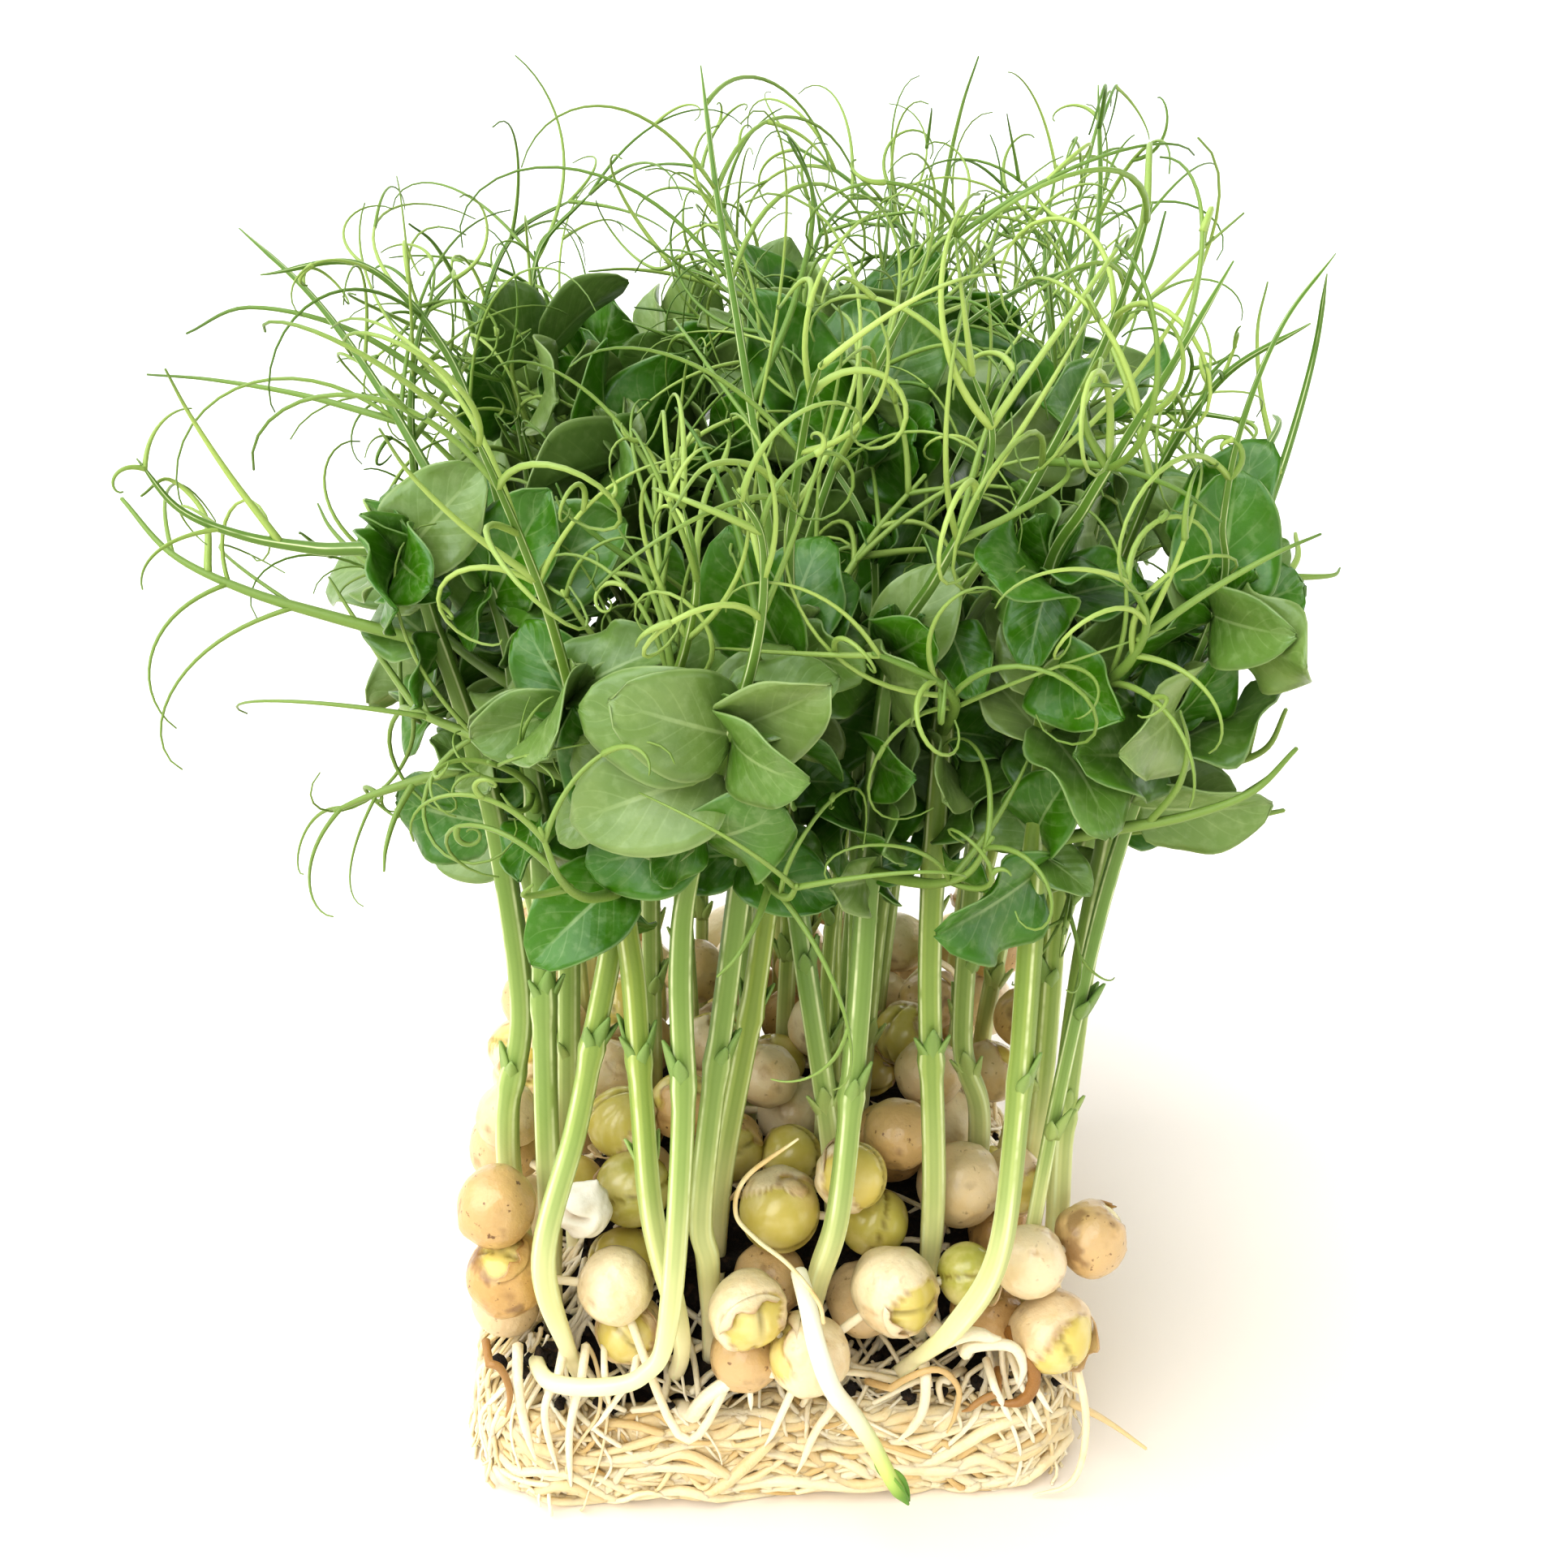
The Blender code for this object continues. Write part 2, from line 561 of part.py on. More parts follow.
def add_blades(shoot, joint, space, wanted):
    """A pair of stipules that stand like wings on both sides of the stalk. A grown shoot takes
    the first drawn blade that is clear of the other shoots, and a measured one takes, of many,
    the one nearest to a measured place that is still wanted."""
    height, azimuth, size, _, _ = joint
    point, ahead = shoot.at_height(height * MM)
    rng = shoot.rng
    for side in (-1, 1):
        best, least = None, math.inf
        for attempt in range(60 if shoot.measured else 40):
            loose = 1 + min(attempt, 28) / 12
            spread = side * (80 + loose * rng.uniform(-22, 22))
            axis = heading(azimuth + spread, 28 + loose * rng.uniform(-30, 30))
            face = heading(azimuth + loose * rng.uniform(-20, 20), rng.uniform(-15, 45))
            blade = Blade(
                Blade.FULL if shoot.measured and size > 11 else Blade.PLAIN,
                point + (side * 0.5 - 0.6) * MM * ahead, axis, face,
                length=size * MM * rng.uniform(0.9, 1.1) * (1 - 0.006 * attempt),
                fold=math.radians(rng.uniform(8, 26)), curl=rng.uniform(0.2, 0.9),
                wave=rng.uniform(0.1, 0.25), phase=rng.uniform(0, 1),
            )
            if not space.is_free(blade.cover(), BLADE_THICKNESS / 2, shoot.number, point):
                continue
            if not shoot.measured:
                best = blade
                break
            middle = blade.surface(np.array((0.5,)), np.array((0.0,)))[0]
            misses = [np.linalg.norm(middle - place) for place in wanted] or [0.0]
            if min(misses) < least:
                best, least, nearest = blade, min(misses), int(np.argmin(misses))
        if best is None:
            continue
        if least < 3 * MM:
            wanted.pop(nearest)
        space.take(best.cover(), BLADE_THICKNESS / 2, shoot.number)
        shoot.blades.append(best)


def turned(direction, rng, least, most):
    """A direction that leaves the given one by least to most degrees, any way round it, and the
    way in which it leaves."""
    side = across(rng.normal(size=3), direction)
    angle = math.radians(rng.uniform(least, most))
    return math.cos(angle) * direction + math.sin(angle) * side, side


STALK_PLACES = (0, 0.3, 0.55, 0.78, 1)
TENDRIL_PLACES = (0, 0.4, 0.75, 1)


def add_stalk(shoot, joint, space):
    """The leaf stalk with its end tendril, and a side tendril on it. Of the drawn curves that
    meet nothing, a measured shoot takes the one whose tip is nearest to the joint's own. The
    top joint's stalk carries the stem on, and the others are pieces of their own."""
    height, azimuth, _, reach, rise = joint
    point, _ = shoot.at_height(height * MM)
    tip = point + heading(azimuth, rise) * reach * MM
    is_top = joint is shoot.joints[-1]
    rng = shoot.rng
    best, least = None, math.inf
    for attempt in range(48 if shoot.measured else 24):
        loose = 8 + attempt
        direction = heading(azimuth + loose * rng.uniform(-1, 1), rise + loose * rng.uniform(-1, 1))
        _, side = turned(direction, rng, 0, 1)
        length = reach * MM * rng.uniform(1, 1.2) * (1 - 0.006 * attempt)
        turn, power, drift = rng.uniform(20, 150), rng.uniform(2, 4), rng.uniform(-0.2, 0.2)
        curve = spiral(point, direction, side, length, turn, power, drift)
        line = along_line(curve, STALK_PLACES)
        if not space.is_free(filled_line(line), TENDRIL_RADIUS * 1.5, shoot.number, point):
            continue
        miss = np.linalg.norm(curve[-1] - tip) if shoot.measured else 0
        if miss < least:
            best, least = line, miss
        if not shoot.measured:
            break
    if best is None:
        return
    space.take(filled_line(best), TENDRIL_RADIUS * 1.5, shoot.number)
    if is_top:
        shoot.leader = best
    else:
        shoot.tubes.append(Tube(best, (TENDRIL_RADIUS * 1.5, TENDRIL_RADIUS)))
    shoot.twigs.append((best, reach))


def add_tendril(shoot, stalk, reach, run, space):
    """A side tendril from the middle of one of the stalk's straight runs."""
    rng = shoot.rng
    start, ahead = (stalk[run] + stalk[run + 1]) / 2, unit(stalk[run + 1] - stalk[run])
    for attempt in range(16):
        direction, side = turned(ahead, rng, 32, 62)
        length = reach * MM * rng.uniform(0.42, 0.62) * (1 - 0.03 * attempt)
        turn, drift = rng.uniform(-150, 150), rng.uniform(-0.3, 0.3)
        line = along_line(spiral(start, direction, side, length, turn, 2, drift), TENDRIL_PLACES)
        if space.is_free(filled_line(line), TENDRIL_RADIUS, shoot.number, start):
            space.take(filled_line(line), TENDRIL_RADIUS, shoot.number)
            shoot.tubes.append(Tube(line, (TENDRIL_RADIUS * 1.1, TENDRIL_RADIUS * 0.9)))
            return


def add_scale(shoot, joint, space):
    """A small scale leaf that leans off the stem."""
    height, azimuth, _, _, _ = joint
    point, _ = shoot.at_height(height * MM)
    line = point + np.outer((0, 2.4 * MM, 5 * MM), heading(azimuth, 58))
    if space.is_free(filled_line(line), TENDRIL_RADIUS, shoot.number):
        space.take(filled_line(line), TENDRIL_RADIUS, shoot.number)
        shoot.tubes.append(Tube(line, (1.3 * MM, 1.1 * MM, 0.5 * MM)))


def grow():
    """Every shoot and every group of peas, placed so that nothing touches what isn't its own."""
    space = Space()
    shoots = front_shoots(space)
    for index, points in enumerate((HANGING_SPROUT, DRY_THREAD)):
        curve = smooth_curve(np.array(points) * MM, 40)
        space.take(curve, (1.2 * MM, 0.5 * MM)[index], SMALL_NUMBER + index)
    coat = np.array(EMPTY_COAT) * MM
    space.take(coat[None, :3], coat[3] / 2, SMALL_NUMBER + 2)
    peas = Peas(space)
    space.take_block()
    lay_measured_peas(peas)
    space.owner[space.owner == BLOCK_NUMBER] = 0
    shoots += grown_shoots(space, len(shoots) + 1)
    space.take_block()
    rng = np.random.default_rng((SEED, 301))
    lay_layer(peas, rng, LOWER_PEAS, LOWER_LAYER, 7 * MM)
    lay_layer(peas, rng, UPPER_PEAS, UPPER_LAYER, MAT_WIDTH)
    groups = pea_groups(peas, space)
    for level in (-1, -2, -3):
        for shoot in shoots:
            if len(shoot.joints) >= -level and shoot.joints[level][3]:
                add_stalk(shoot, shoot.joints[level], space)
    wanted = [np.array(place) * MM for place in FRONT_BLADES]
    for shoot in shoots:
        for joint in shoot.joints:
            if joint[2]:
                add_blades(shoot, joint, space, wanted)
            else:
                add_scale(shoot, joint, space)
    for shoot in shoots:
        for place, (stalk, reach) in enumerate(shoot.twigs):
            add_tendril(shoot, stalk, reach, 1 + place % 2, space)
    return shoots, groups, space


def outline(inset, z, corner_steps=4):
    """The mat's rounded rectangle, this far inside its edge, counter-clockwise from above."""
    corner = max(MAT_CORNER - inset, 1 * MM)
    reach = np.array((MAT_WIDTH / 2 - inset - corner, MAT_DEPTH / 2 - inset - corner))
    points = []
    for quarter, signs in enumerate(((1, 1), (-1, 1), (-1, -1), (1, -1))):
        for step in range(corner_steps + 1):
            angle = math.pi / 2 * (quarter + step / corner_steps)
            middle = reach * signs
            points.append(
                (middle[0] + corner * math.cos(angle), middle[1] + corner * math.sin(angle), z)
            )
    return np.array(points)


def closed_mesh(name, rings):
    """A closed mesh through rings of points. A ring of one point is the tip of a cone, and the
    first and last rings have flat caps."""
    starts = np.cumsum([0] + [len(ring) for ring in rings])
    faces = []
    for number in range(len(rings) - 1):
        low, high = len(rings[number]), len(rings[number + 1])
        for i in range(max(low, high)):
            corners = (
                starts[number] + i % low,
                starts[number] + (i + 1) % low,
                starts[number + 1] + (i + 1) % high,
                starts[number + 1] + i % high,
            )
            faces.append(tuple(dict.fromkeys(int(corner) for corner in corners)))
    if len(rings[0]) > 1:
        faces.append(tuple(range(len(rings[0]) - 1, -1, -1)))
    if len(rings[-1]) > 1:
        faces.append(tuple(range(int(starts[-2]), int(starts[-1]))))
    return outward_mesh(name, np.vstack(rings), faces)


def outward_mesh(name, points, faces):
    """A Blender mesh whose faces point outwards, told by the sign of its volume."""
    mesh = bpy.data.meshes.new(name)
    mesh.from_pydata([tuple(point) for point in points], [], faces)
    shape = bmesh.new()
    shape.from_mesh(mesh)
    if shape.calc_volume(signed=True) < 0:
        bmesh.ops.reverse_faces(shape, faces=shape.faces)
        shape.to_mesh(mesh)
    shape.free()
    return mesh


def tube_mesh(name, tube, grow=0.0):
    """A closed mesh of the tube, made thicker by grow. Each ring is square to the line, and
    carries on the side of the ring before it, so that the tube doesn't twist."""
    line = tube.line
    ahead = np.gradient(line, axis=0)
    ahead /= np.linalg.norm(ahead, axis=1)[:, None]
    side = across(np.array((0.8, 0.6, 0.1)), ahead[0])
    angles = 2 * math.pi * (np.arange(tube.sides) + 0.5) / tube.sides
    rings = []
    for point, way, radius in zip(line, ahead, tube.radii):
        side = across(side, way)
        up = np.cross(side, way)
        ring = np.cos(angles)[:, None] * side + np.sin(angles)[:, None] * up
        rings.append(point + (radius + grow) * ring)
    if tube.pointed[0]:
        rings[0] = line[:1]
    if tube.pointed[1]:
        rings[-1] = line[-1:]
    return closed_mesh(name, rings)


def blade_mesh(name, blade):
    """A closed plate: the blade's corners moved half its thickness to both sides along their
    own normals, with the same triangles on both sides and a rim between them."""
    corners, triangles = blade.corners(), blade.triangles()
    count = len(corners)
    a, b, c = corners[triangles].transpose(1, 0, 2)
    facing = np.cross(b - a, c - a)
    normals = np.zeros((count, 3))
    for column in triangles.T:
        np.add.at(normals, column, facing)
    normals /= np.linalg.norm(normals, axis=1)[:, None]
    half = normals * BLADE_THICKNESS / 2
    faces = [tuple(t) for t in triangles.tolist()]
    faces += [(t[0] + count, t[2] + count, t[1] + count) for t in triangles.tolist()]
    rim = [0, *range(1, count - 1, 2), count - 1, *range(count - 2, 0, -2)]
    for i, j in zip(rim, rim[1:] + rim[:1]):
        faces += [(i, j, j + count), (i, j + count, i + count)]
    return outward_mesh(name, np.vstack((corners + half, corners - half)), faces)


def pea_mesh(name, place, rng, rings=4, sides=5):
    """A pea: a ball squashed a little along a drawn direction."""
    pole = unit(rng.normal(size=3))
    side = across(rng.normal(size=3), pole)
    other = np.cross(pole, side)
    radius = place[3] / 2
    squash = rng.uniform(0.86, 0.96)
    loops = []
    for ring in range(rings + 1):
        polar = math.pi * ring / rings
        turn = 2 * math.pi * (np.arange(sides) + 0.5 * ring) / sides
        out = np.cos(turn)[:, None] * side + np.sin(turn)[:, None] * other
        loop = place[:3] + radius * (math.cos(polar) * squash * pole + math.sin(polar) * out)
        loops.append(loop[:1] if ring in (0, rings) else loop)
    return closed_mesh(name, loops)


def surface_material(name, colour, roughness):
    """A plain finish of one colour."""
    material = bpy.data.materials.new(name)
    material.use_nodes = True
    shader = material.node_tree.nodes["Principled BSDF"]
    shader.inputs["Base Color"].default_value = (*colour, 1)
    shader.inputs["Roughness"].default_value = roughness
    shader.inputs["Metallic"].default_value = 0
    return material


def new_object(name, mesh, material):
    """An object for the mesh in the scene."""
    thing = bpy.data.objects.new(name, mesh)
    thing.data.materials.append(material)
    bpy.context.scene.collection.objects.link(thing)
    return thing


def combine(thing, meshes, operation):
    """The object with the meshes joined to it or cut from it by one applied Boolean, smoothly
    shaded but for its sharp edges."""
    if meshes:
        helpers = bpy.data.collections.new(thing.name + "_pieces")
        bpy.context.scene.collection.children.link(helpers)
        for mesh in meshes:
            helper = bpy.data.objects.new(mesh.name, mesh)
            helper.hide_render = True
            helper.display_type = "WIRE"
            helpers.objects.link(helper)
        boolean = thing.modifiers.new("combine", "BOOLEAN")
        boolean.operation = operation
        boolean.operand_type = "COLLECTION"
        boolean.collection = helpers
        boolean.solver = "MANIFOLD"
        bpy.context.view_layer.update()
        graph = bpy.context.evaluated_depsgraph_get()
        whole = bpy.data.meshes.new_from_object(thing.evaluated_get(graph))
        thing.modifiers.clear()
        thing.data = whole
        for helper in list(helpers.objects):
            bpy.data.objects.remove(helper)
        bpy.data.collections.remove(helpers)
    thing.data.shade_smooth()
    thing.data.set_sharp_from_angle(angle=math.radians(40))
    return thing


def shoot_object(shoot, material):
    """A shoot: its stem, joined with its blades, stalks, tendrils and scale leaves."""
    thing = new_object(shoot.name, tube_mesh("stem", shoot.trunk()), material)
    pieces = [blade_mesh("blade", blade) for blade in shoot.blades]
    pieces += [tube_mesh("twig", tube) for tube in shoot.tubes]
    return combine(thing, pieces, "UNION")


def pea_object(name, places, roots, material):
    """A group of peas, held together by short roots."""
    rng = np.random.default_rng((SEED, 500))
    meshes = [pea_mesh("pea", place, rng) for place in places]
    meshes += [tube_mesh("radicle", Tube(root, (RADICLE_RADIUS, RADICLE_RADIUS))) for root in roots]
    thing = new_object(name, meshes[0], material)
    return combine(thing, meshes[1:], "UNION")


def strand_line(share, length, start, end, sunk, bulge):
    """A root strand along the mat's edge: from this share of the way round the edge, over a
    length of it, between two heights. Its ends are sunk into the mat, and it stands off it by
    bulge in between."""
    places = np.array((0, 0.25, 0.5, 0.75, 1))
    insets = np.array((sunk, -bulge * 0.8, -bulge, -bulge * 0.8, sunk))
    heights = start + (end - start) * places
    profile = np.transpose(MAT_PROFILE[:5]) * MM
    insets = insets + np.interp(heights, profile[1], profile[0])
    points = []
    for place, inset, height in zip(places, insets, heights):
        loop = outline(inset, height)
        loop = np.vstack((loop, loop[:1]))
        points.append(along_line(loop, [(share + place * length) % 1])[0])
    return np.array(points)


def mat_strands(space):
    """The loose strands over the mat's faces, where nothing else is in their way."""
    rng = np.random.default_rng((SEED, 600))
    found = [Tube(np.array(LOOSE_ROOT) * MM, (STRAND_RADIUS, STRAND_RADIUS * 0.7))]
    for index in range(STRANDS):
        for _ in range(20):
            share = (index + rng.uniform(-0.4, 0.4)) / STRANDS
            length = rng.uniform(0.05, 0.09)
            start, end = rng.uniform(2.6, 11, 2) * MM
            line = strand_line(share, length, start, end, 1.2 * MM, rng.uniform(0.9, 1.4) * MM)
            if space.is_free(filled_line(line), STRAND_RADIUS, BLOCK_NUMBER):
                found.append(Tube(line, (STRAND_RADIUS, STRAND_RADIUS * 0.8)))
                break
    return found


def root_mat(space, material):
    """The mat: an open tray of roots with an uneven rim, and loose strands over its faces."""
    rings = [outline(inset * MM, height * MM) for inset, height in MAT_PROFILE]
    for ring in rings[3:6]:
        ring[:, 2] += 0.5 * MM * np.sin(np.arange(len(ring)) * 2.4)
    thing = new_object("root_mat", closed_mesh("mat", rings), material)
    return combine(thing, [tube_mesh("strand", tube) for tube in mat_strands(space)], "UNION")


def growing_medium(shoots, material):
    """The medium: a low edge, a step and a raised middle, with a hole round every stem."""
    rings = [outline(inset * MM, height * MM) for inset, height in MEDIUM_PROFILE]
    thing = new_object("growing_medium", closed_mesh("medium", rings), material)
    holes = []
    for shoot in shoots:
        line = shoot.stem[:2].copy()
        line[0, 2] -= GAP
        stem = Tube(line, (STEM_FOOT, STEM_FOOT), sides=4, pointed=(False, False))
        holes.append(tube_mesh("hole", stem, grow=GAP * math.sqrt(2)))
    return combine(thing, holes, "DIFFERENCE")


def small_pieces():
    """The sprout that hangs over the front, the dry thread and the empty seed coat."""
    sprout = Tube(
        smooth_curve(np.array(HANGING_SPROUT) * MM, 8), (1.1 * MM, 1.2 * MM, 0.9 * MM, 0.6 * MM),
        sides=5, pointed=(False, True),
    )
    thread = Tube(np.array(DRY_THREAD) * MM, (0.45 * MM, 0.45 * MM))
    coat = pea_mesh("coat", np.array(EMPTY_COAT) * MM, np.random.default_rng((SEED, 700)))
    pieces = (
        ("hanging_sprout", tube_mesh("sprout", sprout), (0.62, 0.66, 0.26), 0.5),
        ("dry_thread", tube_mesh("thread", thread), (0.46, 0.33, 0.14), 0.8),
        ("empty_seed_coat", coat, (0.86, 0.82, 0.72), 0.5),
    )
    for name, mesh, colour, roughness in pieces:
        combine(new_object(name, mesh, surface_material(name, colour, roughness)), [], "UNION")


def build():
    """Every piece of the block."""
    for thing in list(bpy.data.objects):
        bpy.data.objects.remove(thing)
    shoots, groups, space = grow()
    root_mat(space, surface_material("root_mat", (0.72, 0.58, 0.34), 0.85))
    growing_medium(shoots, surface_material("growing_medium", (0.014, 0.009, 0.006), 0.95))
    for number, (places, roots) in enumerate(groups, 1):
        name = f"peas_{number:02d}"
        pea_object(name, places, roots, surface_material(name, (0.66, 0.46, 0.22), 0.5))
    for shoot in shoots:
        shoot_object(shoot, surface_material(shoot.name, (0.16, 0.33, 0.07), 0.5))
    small_pieces()


build()
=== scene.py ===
"""The look of a block of pea shoots: fine pieces that stand in for the solids of the part.

The shoots and the peas are grown again by the part's own rule, so that every leaf, stalk and
tendril keeps its place. Each is then drawn as a surface worked out on a grid. Metres, +Z up. The
origin is the middle of the mat's flat underside, and the front of the block faces -Y.
"""

import math

import bpy
import numpy as np
from mathutils import Matrix, Vector


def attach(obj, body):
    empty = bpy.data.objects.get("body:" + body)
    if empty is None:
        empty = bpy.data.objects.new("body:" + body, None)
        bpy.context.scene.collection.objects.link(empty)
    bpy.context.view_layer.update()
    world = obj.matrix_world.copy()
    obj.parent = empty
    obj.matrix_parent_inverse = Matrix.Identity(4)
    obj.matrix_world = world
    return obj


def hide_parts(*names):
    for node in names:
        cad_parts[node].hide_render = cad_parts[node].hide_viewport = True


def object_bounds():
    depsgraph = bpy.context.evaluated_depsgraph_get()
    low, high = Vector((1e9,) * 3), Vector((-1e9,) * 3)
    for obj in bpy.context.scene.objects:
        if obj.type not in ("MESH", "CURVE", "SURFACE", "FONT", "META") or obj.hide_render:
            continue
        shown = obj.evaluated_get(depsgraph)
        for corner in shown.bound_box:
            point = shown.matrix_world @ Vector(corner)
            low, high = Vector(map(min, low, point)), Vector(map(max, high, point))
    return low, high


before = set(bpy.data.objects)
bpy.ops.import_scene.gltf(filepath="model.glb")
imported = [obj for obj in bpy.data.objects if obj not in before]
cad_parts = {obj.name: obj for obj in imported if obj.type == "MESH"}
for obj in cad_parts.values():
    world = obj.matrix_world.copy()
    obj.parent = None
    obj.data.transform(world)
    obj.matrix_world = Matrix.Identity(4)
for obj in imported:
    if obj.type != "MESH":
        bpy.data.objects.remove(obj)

CAD_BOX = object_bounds()
BOX_LOW, BOX_HIGH = (np.array(corner) for corner in CAD_BOX)

# Lengths are in metres. GAP is the clearance between two solids, and TRIES is how often most
# things are drawn before they are left out.
MM = 0.001
SEED = 26
GAP = 0.35 * MM
TRIES = 40

# The root mat and the medium in it. A profile has the inset from the mat's edge and the height,
# in mm, of the corners of its section.
MAT_WIDTH = 70 * MM
MAT_DEPTH = 76 * MM
MAT_CORNER = 11 * MM
MAT_PROFILE = ((3, 0), (0.9, 2), (0, 5), (0.2, 9), (0.8, 12.5), (4, 12.2), (4, 3))
MEDIUM_PROFILE = ((4.35, 3.35), (4.35, 14), (10, 15.2), (15.5, 23), (25, 24.5))
GROUND_PROFILE = ((-2, -2), (-1.9, 13)) + MEDIUM_PROFILE[1:]
FOOT_DEPTH = 4 * MM
LOOSE_ROOT = ((30.5, -32.2, 10), (35.4, -34, 8.8), (39.2, -34, 6.1), (43.1, -36, 4.1))

# The peas, in a lower layer round the edge and an upper layer over all of it
PEA_SMALLEST = 7.4 * MM
PEA_LARGEST = 9.6 * MM
LOWER_LAYER = 21.8 * MM
UPPER_LAYER = 31.5 * MM
UPPER_PEAS = 37
LOWER_PEAS = 18
LOWER_RING = 7 * MM
PEA_ROWS = 6
RADICLE_RADIUS = 1.0 * MM
LONGEST_ROOT = 22 * MM
PEA_TRIES = 150

# The shoots. A stem's radius falls from its foot to its tip, a grown one leans outwards by a
# share of its place, and the places are shares of a stalk's or a tendril's length.
STEM_FOOT = 1.65 * MM
STEM_MIDDLE = 1.5 * MM
STEM_TIP = 0.95 * MM
STEM_HEIGHTS = (36 * MM, 62 * MM, 86 * MM)
STEM_LEAN = np.array((0.32, 0.26))
SHOOT_HEIGHT = (98 * MM, 118 * MM)
TIP_HEIGHT = (126 * MM, 145 * MM)
RIM_STEMS = 20 * MM
BLADE_THICKNESS = 0.68 * MM
NEAR_ENOUGH = 3 * MM
TENDRIL_RADIUS = 0.52 * MM
STALK_PLACES = (0, 0.3, 0.55, 0.78, 1)
TENDRIL_PLACES = (0, 0.4, 0.75, 1)

# The fine stems: their radius as a share of the solids', and the rings at their joints
MEASURED_SLIM = 0.84
GROWN_SLIM = 0.74
SLENDER_SLIM = 0.55
SLENDER_RADIUS = 0.85 * MM
SLENDER_SHOOTS = 18
SLENDER_TRIES = 900
STEM_RINGS = 110
JOINT_LENGTH = 1.3 * MM
JOINT_SWELL = 0.22

# The fine leaves and tendrils. HALF is half the thickness of a plate. A leaf at the front is
# painted paler between two places along Y: a painted sheen. A scale leaf has three points: the
# turn of each in degrees, its length in mm and its lean. A stalk longer than LONG_STALK, in mm,
# has more tendrils, and FORKED is the share of tendrils with a branch.
LEAF_HALF = 0.17 * MM
SMALL_LEAF_HALF = 0.16 * MM
LEAF_TEETH = 12
FRONT_LEAVES = (-40 * MM, -47 * MM)
SCALE_POINTS = ((0, 5.2, 0.26), (-60, 3.8, 0.4), (60, 3.8, 0.4))
TENDRIL_STEPS = 18
LONG_STALK = 28
FORKED = 0.4

# Where more leaves and tendrils may be. The step, the top and the crown's depth are in mm. The
# shoulder is the height from which the crown's sides slant, and the others are places along X
# and Y.
LEAF_ROOM = 0.2 * MM
LEAF_STEP = 3.8
LEAF_TOP = 123
CROWN_DEPTH = 26
CROWN_PAIRS = 8
CROWN_SHOULDER = 118 * MM
CROWN_RIGHT = 53 * MM
CROWN_LEFT = -64 * MM
LEAVES_LEFT = -44 * MM
LEAVES_RIGHT = 47 * MM
BEHIND = -12 * MM
NEAR_MIDDLE = 27 * MM

# The loose peas, as a count and a height for each layer, the share of drawn peas with a whole
# coat, the depth of the groove between a pea's halves as a share of its radius, and the flaps
LOOSE_LAYERS = ((30, 25 * MM), (30, 38 * MM), (20, 31 * MM))
UNTORN = 0.45
GROOVE = 0.09
FLAP_HALF = 0.09 * MM

# The fine roots and the crumbs. The feeders' profile runs down the block's side. The curtain's
# corners are shares of the way round the mat's edge, and LOW_STEM is the front shoot whose foot
# has crumbs on it.
MAT_SIDES = 220
MEDIUM_SIDES = 180
RIM_TOP = 12.7 * MM
FELT_ROOTS = 520
FEEDERS = 190
FEEDER_PROFILE = ((16, 23.5), (15.5, 23), (10, 15.2), (4.35, 14.2), (0.6, 12.5), (0, 7), (0.9, 1.5))
CURTAIN_ROOTS = 130
CURTAIN_CORNERS = (0.49, 0.51, 0.53, 0.78)
TOP_ROOTS = 110
CRUMBS = 420
STEM_CRUMBS = 14
LOW_STEM = 3

# The camera: its place, its pitch, yaw and roll in degrees, its focal length in pixels of the
# photograph, and its sensor in mm. A light has a name, the way to it, a spread in degrees and a
# power.
CAMERA_PLACE = (-16.33 * MM, -181.21 * MM, 159.3 * MM)
CAMERA_TURN = (25, 5.2, 2.2)
FOCAL_PIXELS = 2090
PHOTO_PIXELS = 1932
SENSOR = 36
LIGHTS = (("window", (-0.55, -0.4, 0.75), 72, 3.5), ("back", (-0.2, 0.7, 0.5), 70, 1.0))

# The streams of random draws. The measured shoots have those from 0 on.
GROWN_STREAM = 100
SLENDER_STREAM = 110
MEASURED_PEA_STREAM = 300
PEA_STREAM = 301
LOOSE_PEA_STREAM = 302
PEA_ROOT_STREAM = 400
TENDRIL_STREAM = 800
STEM_STREAM = 850
SHOOT_STREAM = 900
MAT_STREAM = 1000
MEDIUM_STREAM = 1100
SPROUT_STREAM = 1200
EMPTY_COAT_STREAM = 1300
BLOCK_STREAM = 1400

# The numbers that fill the space map for what isn't a shoot
BLOCK_NUMBER = 200
FIRST_PEA_NUMBER = 210
SMALL_NUMBER = 230

# Front peas, measured off the photograph: x, y, z of the middle and the diameter, in mm
FRONT_PEAS = (
    (-18.7, -35.0, 20.0, 8.6), (-6.8, -35.0, 19.4, 8.6), (3.6, -39.6, 24.6, 9.4),
    (-31.4, -33.0, 30.3, 8.8), (-19.4, -35.6, 30.1, 8.4), (-4.6, -37.4, 29.8, 9.1),
    (12.0, -36.4, 29.3, 9.6), (19.0, -33.0, 30.0, 7.4), (26.3, -34.5, 31.6, 7.8),
    (29.7, -36.0, 22.6, 9.2), (33.2, -30.0, 31.7, 8.4), (-29.4, -19.0, 37.6, 8.4),
    (-17.7, -24.6, 34.9, 8.6), (-0.9, -27.6, 34.1, 9.6), (11.6, -27.0, 31.3, 8.6),
    (20.4, -24.0, 34.2, 9.2), (27.4, -21.0, 32.3, 8.0), (-6.4, -16.4, 34.4, 8.4),
    (13.1, -16.0, 34.5, 9.2),
)

